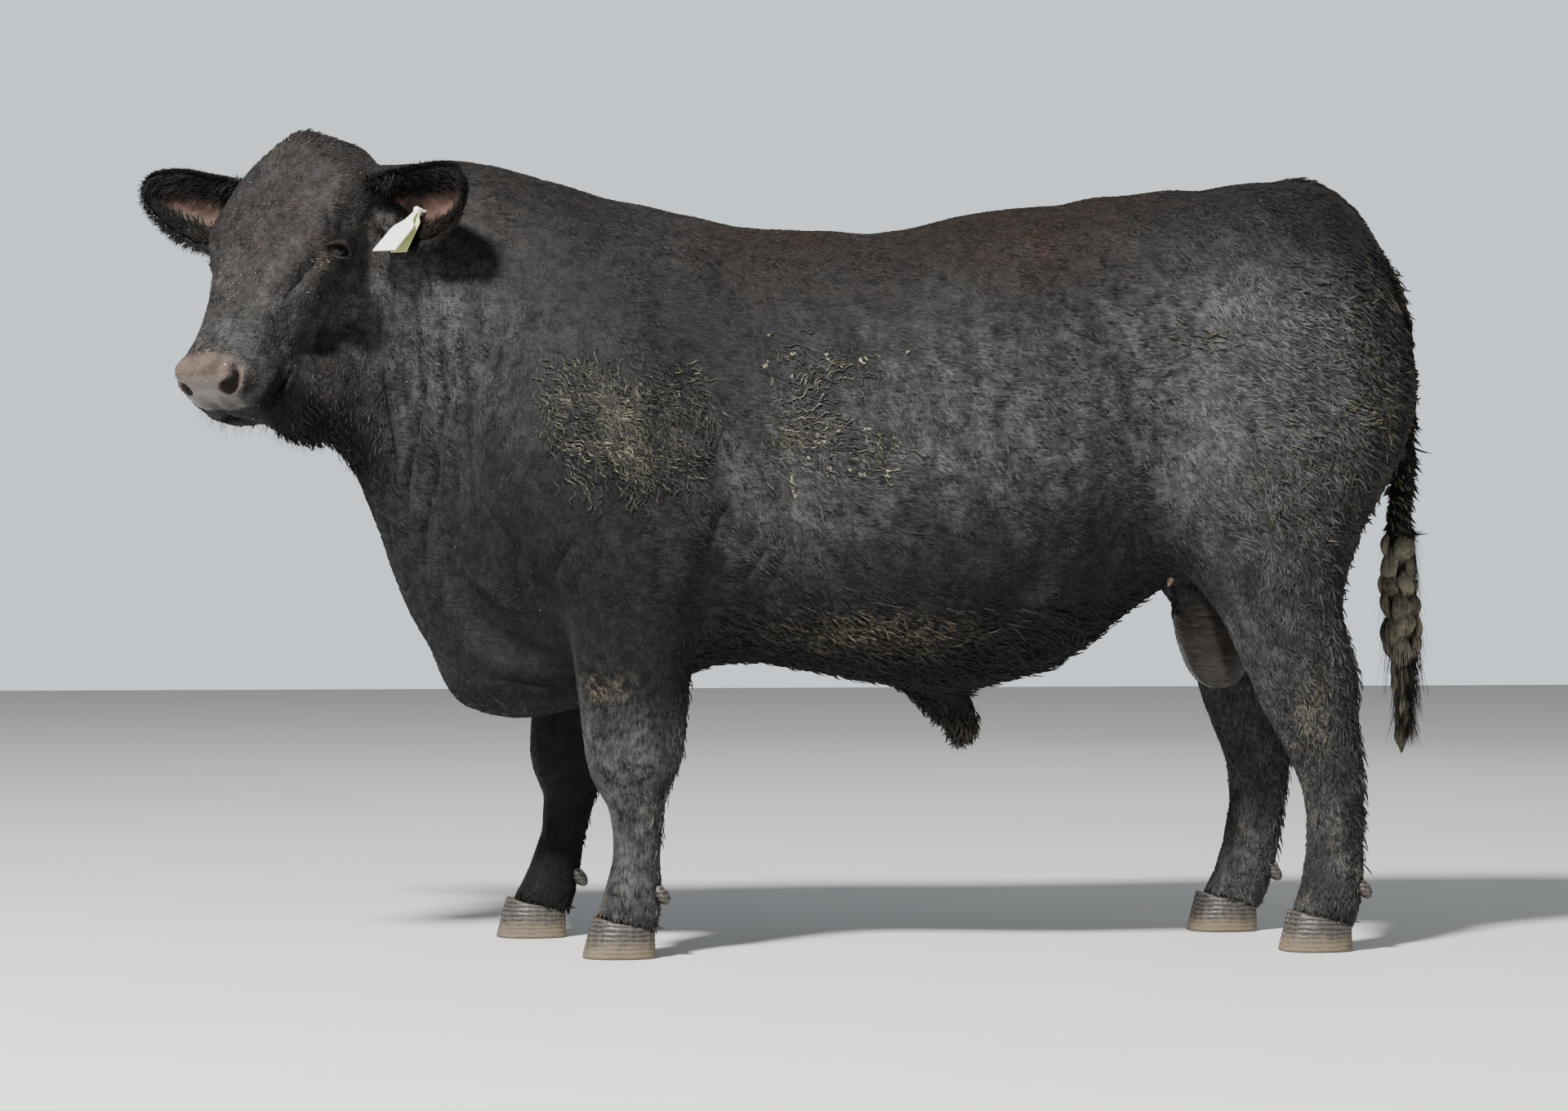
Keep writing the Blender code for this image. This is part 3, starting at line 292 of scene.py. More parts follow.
def point_turns(points: Array, triangles: Array) -> Array:
    """Each point's normal: the mean of its triangles' normals, weighed by their areas."""
    normal, area = face_turns(points, triangles)
    total = np.zeros_like(points)
    for corner in range(3):
        for axis in range(3):
            total[:, axis] += np.bincount(triangles[:, corner], normal[:, axis] * area, len(points))
    return unit(total)


def set_values(piece: bpy.types.Object, **values: Array) -> None:
    """Writes one number for each corner point under each given name."""
    for name, value in values.items():
        layer = piece.data.attributes.new(name, "FLOAT", "POINT")
        layer.data.foreach_set("value", np.ascontiguousarray(value, dtype=np.float32))


def finish_piece(piece: bpy.types.Object, slot: str, *nodes: str) -> bpy.types.Object:
    """Rides a piece on the body and stands it for the given solids, which are hidden."""
    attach(piece, BODY)
    if nodes:
        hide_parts(*nodes)
    return piece


def plain_marks(count: int, **given: float) -> dict[str, Array]:
    """The same markings for every tuft of a piece; those not given are nought."""
    return {key: np.full(count, given.get(key, 0.0)) for key in MARKS}


# The animal's own measures.
@dataclass(frozen=True)
class HeadFrame:
    """The head's own axes: down the face, out to its left cheek, and out of the forehead."""

    yaw: float = math.radians(50.0)
    pitch: float = math.radians(57.0)
    eye: tuple = (0.213, 0.131, -0.080)
    eye_radius: float = 0.0215

    @property
    def ahead(self) -> Array:
        """The level direction in which the head looks."""
        return np.array((-math.cos(self.yaw), -math.sin(self.yaw), 0.0))

    @property
    def face(self) -> Array:
        """The direction from the poll down to the nose."""
        return self.ahead * math.cos(self.pitch) - UP * math.sin(self.pitch)

    @property
    def brow(self) -> Array:
        """The direction out of the forehead."""
        return self.ahead * math.sin(self.pitch) + UP * math.cos(self.pitch)

    @property
    def cheek(self) -> Array:
        """The direction out of the left cheek."""
        return np.array((math.sin(self.yaw), -math.cos(self.yaw), 0.0))

    @property
    def poll(self) -> Array:
        """The top of the head, found from the middle of the left eyeball."""
        low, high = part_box("eye_left")
        middle = (np.array(low) + np.array(high)) / 2.0
        along, out, above = self.eye
        return middle - along * self.face - out * self.cheek - above * self.brow

    @property
    def shift(self) -> Array:
        """How far the model stands from the axes in which it was measured."""
        return self.poll - np.array((-0.887, -0.115, 1.474))

    def place(self, along: Array, out: Array, above: Array) -> Array:
        """Points given down the face, out to the left and out of the forehead."""
        return (self.poll + np.asarray(along)[..., None] * self.face
                + np.asarray(out)[..., None] * self.cheek + np.asarray(above)[..., None] * self.brow)

    def local(self, points: Array) -> Array:
        """The same three measures of given points."""
        return (points - self.poll) @ np.stack([self.face, self.cheek, self.brow], axis=1)

    def eye_axes(self, side: float) -> tuple[Array, Array, Array]:
        """Out of an eye, along its slit and across it."""
        out = unit(side * self.cheek * 0.86 + self.ahead * 0.50 + UP * 0.04)
        slit = unit(np.cross(out, UP) * side + UP * 0.22)
        slit = unit(slit - out * (slit @ out))
        return out, slit, np.cross(out, slit)

    def eye_middle(self, side: float) -> Array:
        """The middle of an eyeball."""
        along, out, above = self.eye
        return self.place(along, side * out, above)


@dataclass(frozen=True)
class Fold:
    """A crease or ridge of the hide: its path, its half width and its height, negative for a crease."""

    width: float
    height: float
    path: tuple
    both: bool = False
    on_head: bool = False

    def line(self, turn: float) -> Array:
        """The path's corners, mirrored for a turn of minus one, out of the head's axes if need be."""
        corners = np.array(self.path) * (1.0, turn, 1.0)
        return HeadFrame().place(*corners.T) if self.on_head else corners


# Low rises and hollows of the head, on both its sides, in the head's own axes.
FORMS = (
    Hump(0.0060, (0.176, 0.126, -0.036), (0.036, 0.030, 0.022)),
    Hump(-0.0050, (0.105, 0.098, -0.014), (0.032, 0.030, 0.030)),
    Hump(0.0065, (0.235, 0.118, -0.205), (0.065, 0.050, 0.055)),
    Hump(-0.0065, (0.340, 0.100, -0.170), (0.036, 0.050, 0.060)),
    Hump(0.0045, (0.455, 0.085, -0.095), (0.032, 0.030, 0.036)),
    Hump(-0.0040, (0.268, 0.108, -0.052), (0.026, 0.022, 0.018)),
    Hump(0.0030, (0.300, 0.060, -0.010), (0.080, 0.030, 0.030)),
)

# Where the left side's mud, the tan dust, the painted sheen and sunlight with some grey dust, and the broad
# plates lie: height, middle, radii.
MUD = (
    Hump(1.15, (-0.290, -0.36, 0.955), (0.110, 0.2, 0.085)),
    Hump(0.85, (-0.420, -0.34, 1.005), (0.070, 0.2, 0.065)),
    Hump(0.55, (-0.345, -0.36, 0.875), (0.110, 0.2, 0.050)),
    Hump(0.75, (-0.040, -0.33, 0.975), (0.060, 0.2, 0.130)),
    Hump(0.70, (0.070, -0.35, 0.905), (0.090, 0.2, 0.065)),
    Hump(0.45, (0.070, -0.32, 1.050), (0.110, 0.2, 0.035)),
)
THIGH_MUD = Hump(0.50, (0.86, -0.33, 0.86), (0.12, 0.2, 0.14))
FLANK_MUD = Hump(0.45, (0.70, -0.31, 1.10), (0.07, 0.2, 0.06))
BELLY_TAN = Hump(1.10, (0.105, -0.24, 0.580), (0.16, 0.1, 0.036))
LEG_TAN = (
    Hump(0.55, (-0.372, -0.295, 0.479), (0.05, 0.08, 0.030)),
    Hump(0.80, (0.910, -0.28, 0.440), (0.035, 0.08, 0.070)),
)
CORONET_TAN = Hump(1.50, (1.012, -0.250, 0.107), (0.014, 0.030, 0.012))
TEAR_TAN = Hump(0.20, (0.250, 0.132, -0.062), (0.012, 0.016, 0.010))
# Patches of painted sheen and sunlight on the coat, with some grey dust in them.
SHEEN_AND_DUST = (
    Hump(0.88, (0.31, -0.33, 0.95), (0.26, 0.3, 0.17)),
    Hump(1.20, (0.83, -0.33, 0.92), (0.23, 0.3, 0.24)),
    Hump(0.78, (0.74, -0.32, 1.12), (0.24, 0.3, 0.13)),
    Hump(0.95, (-0.68, -0.20, 1.10), (0.13, 0.3, 0.24)),
    Hump(0.70, (-0.06, -0.33, 0.82), (0.17, 0.3, 0.16)),
    Hump(0.12, (-0.34, -0.33, 1.05), (0.15, 0.3, 0.10)),
)
PLATES = (
    Hump(1.6, (-0.305, -0.36, 0.985), (0.030, 0.2, 0.035)),
    Hump(1.6, (-0.265, -0.36, 0.945), (0.030, 0.2, 0.035)),
    Hump(1.0, (-0.350, -0.36, 0.905), (0.014, 0.2, 0.012)),
    Hump(0.40, (-0.050, -0.33, 1.040), (0.030, 0.2, 0.030)),
    Hump(0.35, (0.030, -0.35, 0.900), (0.080, 0.2, 0.040)),
    Hump(0.20, (0.080, -0.32, 1.070), (0.080, 0.2, 0.018)),
)

FOLDS = (
    Fold(0.011, 0.0050, ((0.226, 0.148, -0.100), (0.255, 0.142, -0.101), (0.290, 0.130, -0.106),
                         (0.335, 0.115, -0.116), (0.370, 0.105, -0.122)), True, True),
    Fold(0.010, -0.0055, ((0.240, 0.130, -0.055), (0.261, 0.119, -0.057), (0.287, 0.105, -0.061),
                          (0.312, 0.095, -0.057), (0.345, 0.088, -0.058)), True, True),
    Fold(0.008, -0.0110, ((0.524, 0.046, -0.058), (0.512, 0.056, -0.050), (0.502, 0.064, -0.042),
                          (0.491, 0.071, -0.034), (0.482, 0.075, -0.028)), True, True),
    Fold(0.006, -0.0035, ((0.140, 0.112, -0.014), (0.160, 0.124, -0.025), (0.190, 0.132, -0.040),
                          (0.220, 0.137, -0.050)), True, True),
    Fold(0.008, -0.008, ((-0.669, -0.195, 1.150), (-0.673, -0.174, 1.064), (-0.682, -0.147, 0.999),
                         (-0.690, -0.120, 0.934), (-0.700, -0.104, 0.847), (-0.707, -0.087, 0.744),
                         (-0.703, -0.051, 0.638))),
    Fold(0.008, -0.007, ((-0.593, -0.218, 1.140), (-0.620, -0.204, 1.048), (-0.647, -0.159, 0.955),
                         (-0.659, -0.107, 0.825), (-0.669, -0.099, 0.759), (-0.676, -0.094, 0.688),
                         (-0.670, -0.068, 0.589))),
    Fold(0.007, -0.006, ((-0.705, -0.187, 1.163), (-0.704, -0.167, 1.100), (-0.704, -0.144, 1.038))),
    Fold(0.007, -0.0035, ((-0.525, -0.230, 1.170), (-0.537, -0.238, 1.122), (-0.546, -0.243, 1.090),
                          (-0.567, -0.259, 1.011), (-0.586, -0.254, 0.946), (-0.610, -0.230, 0.860))),
    Fold(0.007, -0.0028, ((-0.510, -0.299, 1.060), (-0.527, -0.299, 1.017), (-0.543, -0.296, 0.995),
                          (-0.579, -0.281, 0.917), (-0.600, -0.240, 0.830))),
    Fold(0.012, -0.0022, ((-0.430, -0.353, 0.970), (-0.444, -0.353, 0.925), (-0.466, -0.353, 0.887),
                          (-0.489, -0.347, 0.844), (-0.505, -0.320, 0.790)), True),
    Fold(0.008, -0.006, ((-0.637, -0.106, 0.716), (-0.645, -0.106, 0.641), (-0.651, -0.080, 0.565))),
    Fold(0.013, -0.003, ((-0.480, -0.292, 1.089), (-0.509, -0.311, 1.016), (-0.538, -0.319, 0.945),
                         (-0.566, -0.303, 0.873), (-0.579, -0.199, 0.773))),
    Fold(0.006, -0.004, ((-0.755, -0.173, 1.208), (-0.760, -0.143, 1.137), (-0.763, -0.126, 1.065))),
    Fold(0.006, -0.005, ((-0.729, -0.193, 1.237), (-0.732, -0.182, 1.179), (-0.734, -0.153, 1.108),
                         (-0.737, -0.121, 1.022))),
    Fold(0.014, 0.007, ((-0.623, -0.119, 0.712), (-0.572, -0.159, 0.658), (-0.486, -0.189, 0.596)),
         True),
    Fold(0.012, -0.006, ((-0.602, -0.107, 0.510), (-0.530, -0.133, 0.488), (-0.469, -0.132, 0.478),
                         (-0.415, -0.125, 0.477)), True),
    Fold(0.011, -0.006, ((-0.470, -0.270, 0.650), (-0.452, -0.309, 0.689), (-0.439, -0.335, 0.716),
                         (-0.425, -0.348, 0.736), (-0.400, -0.355, 0.765)), True),
    Fold(0.016, -0.008, ((-0.509, -0.317, 0.773), (-0.522, -0.220, 0.701), (-0.504, -0.197, 0.628),
                         (-0.458, -0.160, 0.540)), True),
    Fold(0.022, 0.010, ((0.475, -0.300, 0.704), (0.435, -0.289, 0.657), (0.395, -0.269, 0.613),
                        (0.348, -0.216, 0.545)), True),
    Fold(0.020, -0.008, ((0.500, -0.285, 0.675), (0.460, -0.280, 0.625), (0.420, -0.250, 0.580)), True),
    Fold(0.020, -0.007, ((-0.194, -0.325, 0.687), (-0.166, -0.330, 0.773), (-0.137, -0.331, 0.831)),
         True),
    Fold(0.010, -0.004, ((-0.125, -0.276, 0.658), (-0.098, -0.299, 0.701), (-0.064, -0.316, 0.744)),
         True),
    Fold(0.009, -0.004, ((-0.085, -0.270, 0.640), (-0.060, -0.300, 0.700), (-0.030, -0.320, 0.750)),
         True),
)


def folds_near(points: Array) -> Iterator[tuple[Fold, Array, Array, Array]]:
    """Goes through the folds, and their mirror images where both sides have them.

    Args:
        points: places on the hide, one row each.

    Yields:
        The fold, the points near it, their distance from its path, and a fade at its two ends.
    """
    for fold in FOLDS:
        for turn in ((1.0, -1.0) if fold.both else (1.0,)):
            line = fold.line(turn)
            low, high = line.min(0) - 5 * fold.width, line.max(0) + 5 * fold.width
            near = np.nonzero(((points > low) & (points < high)).all(1))[0]
            gap, along = path_distance(points[near], line)
            yield fold, near, gap, ease(along, 0.0, 0.40) * ease(-along, -1.0, -0.60)


@dataclass(frozen=True)
class Anatomy:
    """Soft masks, from 0 to 1, that say where on the animal a point lies."""

    head: HeadFrame

    def jaw_side(self, points: Array) -> Array:
        """Above 0 on the head and below 0 on the neck, from a slanted plane behind the jaw."""
        local = self.head.local(points)
        return local[:, 2] + 0.087 + 0.735 * local[:, 0]

    def regions(self, points: Array) -> dict[str, Array]:
        """The masks that steer smoothing, coat and colours.

        Args:
            points: places on the hide, one row each.

        Returns:
            Named masks, one value for each point.
        """
        x, y, z = points.T
        local = self.head.local(points)
        along, out, above = local.T
        head = ease(self.jaw_side(points), -0.03, 0.03) * ease(-x, 0.60, 0.66)
        fore = ease(-z, -0.66, -0.50) * ease(-x, 0.17, 0.24) * ease(np.abs(y), 0.10, 0.17)
        fore = np.maximum(fore, (z < 0.41) * (x < 0.0)) * (1 - head)
        hind = ease(-z, -0.80, -0.58) * ease(x, 0.66, 0.76) * (np.abs(y) > 0.02)
        tail = ease(x, 1.095, 1.115) * (np.abs(y) < 0.06) * (z < 1.16)
        hind = hind * (1 - tail)
        leg = np.maximum(fore, hind)
        purse = (mound(points, (0.785, 0.0, 0.560), (0.085, 0.085, 0.115)) > 0.36) * (np.abs(y) < 0.085)
        sheath = ease(-z, -0.458, -0.440) * ease(x, 0.10, 0.16) * (x < 0.40) * (np.abs(y) < 0.07)
        pad = ease(along, 0.468, 0.486) * ease(above, -0.110, -0.098) * ease(-above, -0.004, 0.009)
        nostril = mound(folded(local), (0.505, 0.060, -0.050), (0.030, 0.0175, 0.028))
        pad = np.maximum(pad * ease(-np.abs(out), -0.072, -0.052), ease(nostril, 0.38, 0.62))
        lips = mound(local[:, (0, 2)], (0.530, -0.125), (0.045, 0.018)) * head
        lids = sum(self.near_eye(points, side) for side in SIDES.values())
        return {"lids": lids, "head": head, "leg": leg, "fore": fore, "hind": hind, "tail": tail * 1.0,
                "purse": purse * 1.0, "sheath": sheath, "pad": pad * head, "lips": lips}

    def near_eye(self, points: Array, side: float) -> Array:
        """Above 0 within the oval of bare skin round an eye."""
        out, slit, over = self.head.eye_axes(side)
        away = points - self.head.eye_middle(side)
        reach = (away @ slit / 0.034) ** 2 + (away @ over / 0.025) ** 2
        return ease(-reach, -1.1, -0.75) * (away @ out > 0.0)

    def pleats(self, points: Array) -> Array:
        """Narrow upright valleys down the side of the neck: a high power of one less a sine's size."""
        x, y, z = points.T
        wander = Ripple(21, 0.30).at(points)
        phase = 98.0 * (x + 0.10 * (z - 1.0)) + 0.9 * wander
        valley = (1.0 - np.abs(np.sin(phase))) ** 2
        deep = 0.55 + 0.45 * Ripple(24, 0.17).at(points)
        where = ease(-x, 0.53, 0.62) * ease(-x, -0.86, -0.78) * ease(z, 0.62, 0.80) * ease(-z, -1.30, -1.18)
        where *= ease(-y, 0.02, 0.09) * (1 - ease(self.jaw_side(points), -0.01, 0.02))
        return valley * where * np.clip(deep, 0.1, 1.0)

    def markings(self, points: Array, normals: Array, zone: dict[str, Array]) -> dict[str, Array]:
        """Where the coat is muddy, tan, brown or rough, where painted sheen and sunlight lighten it and
        where painted shade darkens it; hide and coat read the same values.

        Each mask is a sum of soft humps, broken up by a wandering value.

        Args:
            points: places on the hide, one row each.
            normals: the hide's normals there.
            zone: the region masks of the same points.

        Returns:
            Named masks, one value for each point.
        """
        x, y, z = points.T
        near = folded(points, -1.0)
        left = ease(-y, -0.02, 0.05)
        broken = 0.5 + 0.5 * Ripple(3, 0.075).at(points)
        fine = 0.5 + 0.5 * Ripple(5, 0.022).at(points)
        head, leg, fore, hind = (zone[key] for key in ("head", "leg", "fore", "hind"))
        local = self.head.local(points)
        corner = folded(local)

        mud = humps(near, MUD) * (0.25 + 0.75 * left)
        rump = ease(x, 0.90, 1.06) * ease(z, 0.62, 0.76) * ease(-z, -1.30, -1.18)
        mud += 1.05 * rump + THIGH_MUD.at(near)
        mud += FLANK_MUD.at(near) * left
        mud *= 1.0 - zone["tail"]

        tan = BELLY_TAN.at(near)
        for spot in LEG_TAN:
            tan += spot.at(near) * leg
        tan += 0.35 * (hind + fore * left) * ease(-z, -0.46, -0.20) * ease(broken, 0.6, 1.0)
        tan += 0.06 * ease(broken, 0.72, 1.0) * head
        tan += CORONET_TAN.at(near)
        tan += 0.55 * zone["sheath"] * ease(-z, -0.450, -0.400)
        tan += TEAR_TAN.at(corner)
        crust = np.exp(-((local[:, 0] - 0.469) / 0.0045) ** 2) * ease(local[:, 2], -0.045, -0.020)
        tan += 0.75 * crust * ease(-corner[:, 1], -0.065, -0.045) * head

        brown = 0.80 * ease(z, 1.08, 1.28) * ease(x, -0.30, -0.10) * ease(-x, -0.75, -0.50)
        brown += 0.35 * head + 0.25 * ease(z, 1.15, 1.35) + 0.25 * ease(-x, 0.45, 0.60)

        rough = ease(x, 0.62, 0.95) * (1 - 0.6 * ease(z, 1.15, 1.32))
        rough = np.maximum(rough, ease(-normals[:, 2], 0.35, 0.85) * ease(x, -0.25, -0.05) * 0.9)
        rough = np.maximum(rough, 0.5 * leg * ease(normals[:, 0], 0.1, 0.7))
        rough = np.maximum(rough, 0.8 * ease(mud, 0.05, 0.7))

        # Painted sheen and sunlight, with some grey dust: lighter on flank, hip, rump, neck, ribs and along
        # the back, on the near lower foreleg, most on the far hind leg, and on the upper head and down the
        # face; the far foreleg is darkened as painted shadow.
        bloom = 0.08 + humps(near, SHEEN_AND_DUST)
        bloom += 0.18 * ease(z, 1.20, 1.30) * ease(x, -0.40, -0.20) * ease(-x, -0.30, -0.10)
        bloom += 0.95 * fore * ease(-z, -0.50, -0.36) * left + 0.55 * hind * (1.8 - 0.8 * left)
        bloom *= 1.0 - 0.9 * fore * (1 - left)
        bloom += head * (0.48 * ease(local[:, 2], -0.34, -0.12) + 0.20 * ease(local[:, 0], 0.12, 0.30))

        # Painted shade: the chin, the hollows round the eyes, the ear roots, the creases and the neck
        # pleats are darkened.
        chin = ease(local[:, 0], 0.41, 0.45) * ease(-local[:, 2], 0.100, 0.114) * head
        eyes = mound(corner, self.head.eye, (0.038, 0.030, 0.032)) * head
        roots = mound(corner, (0.045, 0.105, -0.105), (0.042, 0.030, 0.050)) * head
        dark = np.maximum.reduce([self.fold_shade(points), 0.85 * self.pleats(points), chin,
                                  0.55 * ease(eyes, 0.15, 0.7), 0.8 * ease(roots, 0.2, 0.7)])
        # The crease mark carries this painted shade.
        return {"crease": dark,
                "bloom": np.clip(bloom * (0.65 + 0.6 * broken), 0, 1),
                "mud": np.clip(mud * (0.55 + 0.7 * broken), 0, 1.2),
                "tan": np.clip(tan * (0.4 + 0.9 * fine), 0, 1),
                "brown": np.clip(brown * (0.6 + 0.5 * broken), 0, 1),
                "rough": np.clip(rough, 0, 1)}

    def fold_shade(self, points: Array) -> Array:
        """The painted shade in the folds of the hide, 0 to 1: a narrow bell along each crease, stronger for
        deeper ones.
        """
        depth = np.zeros(len(points))
        for fold, near, gap, fade in folds_near(points):
            if fold.height < 0:
                bell = np.exp(-(gap / (0.55 * fold.width)) ** 2) * fade * min(1.0, -fold.height / 0.006)
                depth[near] = np.maximum(depth[near], bell)
        return depth

    def lie(self, points: Array, normals: Array, zone: dict[str, Array]) -> Array:
        """The way the hair lies: a flow back and down, turned by a wandering angle on the hide.

        On the head it spreads from a whorl between the eyes, down the face and up to the poll.

        Args:
            points: places on the hide, one row each.
            normals: the hide's normals there.
            zone: the region masks of the same points.

        Returns:
            One direction along the hide for each point.
        """
        back = np.array((0.80, 0.0, -0.60)) + np.zeros_like(points)
        shoulder = ease(-points[:, 0], 0.10, 0.45)
        back = back + shoulder[:, None] * np.array((-0.35, 0.0, -0.35))
        down = np.array((0.22, 0.0, -1.0))
        local = self.head.local(points)
        whorl = np.stack([local[:, 0] - 0.19, local[:, 1] * 0.8], axis=1)
        spread = whorl[:, :1] * self.head.face + whorl[:, 1:] * self.head.cheek
        cheek = ease(-local[:, 2], 0.09, 0.18)[:, None]
        spread = unit(spread) * (1 - cheek) + cheek * (0.7 * self.head.face - 0.75 * self.head.brow)
        down = down - zone["sheath"][:, None] * np.array((0.55, 0.0, 0.0))
        low = np.maximum.reduce([zone["leg"], zone["tail"], zone["sheath"]])[:, None]
        flow = back * (1 - low) + down * low
        flow = flow * (1 - zone["head"][:, None]) + spread * zone["head"][:, None]
        flow = unit(flow - normals * (flow * normals).sum(1)[:, None])
        angle = 0.30 * Ripple(11, 0.30).at(points) + 0.22 * Ripple(12, 0.09).at(points)
        return turned(flow, normals, angle)

    def unwrap(self, points: Array, zone: dict[str, Array]) -> Array:
        """Lays the hide out flat: each stretch turns round its own axis line in a chart of its own.

        Across is the angle round the axis over a full turn, and up is the way along the axis.

        Args:
            points: places on the hide, one row each.
            zone: the region masks of the same points.

        Returns:
            Two numbers from 0 to 1 for each point.
        """
        x, y, z = points.T
        local = self.head.local(points)
        middle = np.interp(x, (-1.1, -0.6, 0.2, 1.1), (1.15, 0.95, 0.90, 1.05))
        turn = np.arctan2(y, z - middle) / (2 * math.pi) + 0.5
        flat = np.stack([0.005 + 0.50 * turn, 0.02 + 0.40 * (x + 1.25)], axis=1)
        face = np.arctan2(local[:, 1], local[:, 2] + 0.13) / (2 * math.pi) + 0.5
        on_head = np.stack([0.52 + 0.22 * face, 0.02 + 0.85 * (local[:, 0] + 0.35)], axis=1)
        flat = np.where(zone["head"][:, None] > 0.5, on_head, flat)
        column = (x > 0.3) * 2 + (y > 0)
        axis_x = np.interp(column, (0, 1, 2, 3), (-0.32, -0.44, 0.94, 0.86))
        around = np.arctan2(np.abs(y) - 0.21, x - axis_x) / (2 * math.pi) + 0.5
        on_leg = np.stack([0.755 + 0.055 * column + 0.05 * around, 0.02 + 0.9 * z], axis=1)
        flat = np.where(zone["leg"][:, None] > 0.5, on_leg, flat)
        about = np.arctan2(y, x - 1.13) / (2 * math.pi) + 0.5
        on_tail = np.stack([0.975 + 0.02 * about, 0.02 + 0.6 * z], axis=1)
        return np.clip(np.where(zone["tail"][:, None] > 0.5, on_tail, flat), 0.003, 0.997)


# Shader groups and finishes.
class Wiring:
    """Builds a node tree with short calls."""

    def __init__(self, tree: bpy.types.NodeTree) -> None:
        """Takes an empty tree."""
        self.tree = tree

    def node(self, kind: str, inputs: dict | None = None, **settings: object) -> bpy.types.Node:
        """Adds a node, sets its fields, and feeds its inputs with values or sockets."""
        made = self.tree.nodes.new(kind)
        for key, value in settings.items():
            setattr(made, key, value)
        for key, value in (inputs or {}).items():
            if isinstance(value, bpy.types.NodeSocket):
                self.tree.links.new(value, made.inputs[key])
            else:
                made.inputs[key].default_value = value
        return made

    def maths(self, operation: str, first: object, second: object = 0.0) -> bpy.types.NodeSocket:
        """One sum on two numbers or sockets."""
        return self.node("ShaderNodeMath", {0: first, 1: second}, operation=operation).outputs[0]

    def span(self, value: object, low: float, high: float, start: float = 0.0,
             end: float = 1.0) -> bpy.types.NodeSocket:
        """Spreads a value from one span to another, held at the ends."""
        made = self.node("ShaderNodeMapRange", {"Value": value, "From Min": low, "From Max": high,
                                                "To Min": start, "To Max": end})
        return made.outputs["Result"]

    def mix(self, factor: object, first: object, second: object) -> bpy.types.NodeSocket:
        """Mixes two colours."""
        made = self.node("ShaderNodeMix", data_type="RGBA")
        for key, value in ((0, factor), (6, first), (7, second)):
            if isinstance(value, bpy.types.NodeSocket):
                self.tree.links.new(value, made.inputs[key])
            else:
                made.inputs[key].default_value = value if key == 0 else (*value, 1.0)
        return made.outputs[2]

    def noise(self, scale: float, detail: float = 3.0, roughness: float = 0.55,
              stretch: tuple = (1.0, 1.0, 1.0), turn: tuple = (0.0, 0.0, 0.0)) -> bpy.types.NodeSocket:
        """Noise on the object's own coordinates, stretched along its axes."""
        place = self.node("ShaderNodeTexCoord").outputs["Object"]
        mapped = self.node("ShaderNodeMapping", {"Vector": place, "Scale": stretch, "Rotation": turn})
        made = self.node("ShaderNodeTexNoise", {"Vector": mapped.outputs[0], "Scale": scale,
                                                "Detail": detail, "Roughness": roughness})
        return made.outputs["Fac"]

    def value_of(self, name: str) -> bpy.types.NodeSocket:
        """One of the mesh's own named values."""
        return self.node("ShaderNodeAttribute", attribute_name=name).outputs["Fac"]

    def between(self, factor: object, first: object, second: object) -> bpy.types.NodeSocket:
        """Mixes two numbers."""
        return self.node("ShaderNodeMix", {0: factor, 2: first, 3: second}, data_type="FLOAT").outputs[0]

    def group(self, tree: bpy.types.NodeTree, **given: object) -> dict[str, bpy.types.NodeSocket]:
        """Places a shared group and gives its outputs by name."""
        return dict(self.node("ShaderNodeGroup", given, node_tree=tree).outputs.items())

    def feed(self, shader: bpy.types.Node, **sockets: bpy.types.NodeSocket) -> None:
        """Links sockets to the shader's own; underscores stand for spaces."""
        for key, socket in sockets.items():
            self.tree.links.new(socket, shader.inputs[key.replace("_", " ")])

    def bumped(self, height: bpy.types.NodeSocket, strength: float, reach: float) -> bpy.types.NodeSocket:
        """The normal of a bump of the given height."""
        made = self.node("ShaderNodeBump", {"Height": height, "Strength": strength, "Distance": reach})
        return made.outputs[0]


def shader_group(name: str, inputs: dict[str, float], outputs: dict[str, str]) -> tuple:
    """Starts a shader node group with named sockets.

    Args:
        name: the group's name.
        inputs: each number input with its usual value.
        outputs: each output with its socket type.

    Returns:
        The group, its wiring, its input node and its output node.
    """
    group = bpy.data.node_groups.new(name, "ShaderNodeTree")
    for label, usual in inputs.items():
        socket = group.interface.new_socket(label, in_out="INPUT", socket_type="NodeSocketFloat")
        socket.default_value = usual
    for label, kind in outputs.items():
        group.interface.new_socket(label, in_out="OUTPUT", socket_type=kind)
    wiring = Wiring(group)
    return group, wiring, wiring.node("NodeGroupInput"), wiring.node("NodeGroupOutput")


COLOR = "NodeSocketColor"
NUMBER = "NodeSocketFloat"

# The dark and the pale end of each tone of the coat, in linear light.
BLACK = ((0.0015, 0.0015, 0.0016), (0.0105, 0.0103, 0.0105))
# The grey that the painted sheen and sunlight give the coat, with some dust in it.
SHEEN_AND_DUST_GREY = ((0.0065, 0.0066, 0.0068), (0.0940, 0.0940, 0.0945))
BLEACHED = ((0.0042, 0.0027, 0.0021), (0.0250, 0.0165, 0.0125))
MUDDY = ((0.022, 0.020, 0.016), (0.096, 0.085, 0.062))
# Near black for painted shade in folds, under the chin, round the eyes and at the ear roots.
PAINTED_SHADE = (0.0025, 0.0022, 0.0022)
TAN_DUST = (0.150, 0.122, 0.088)


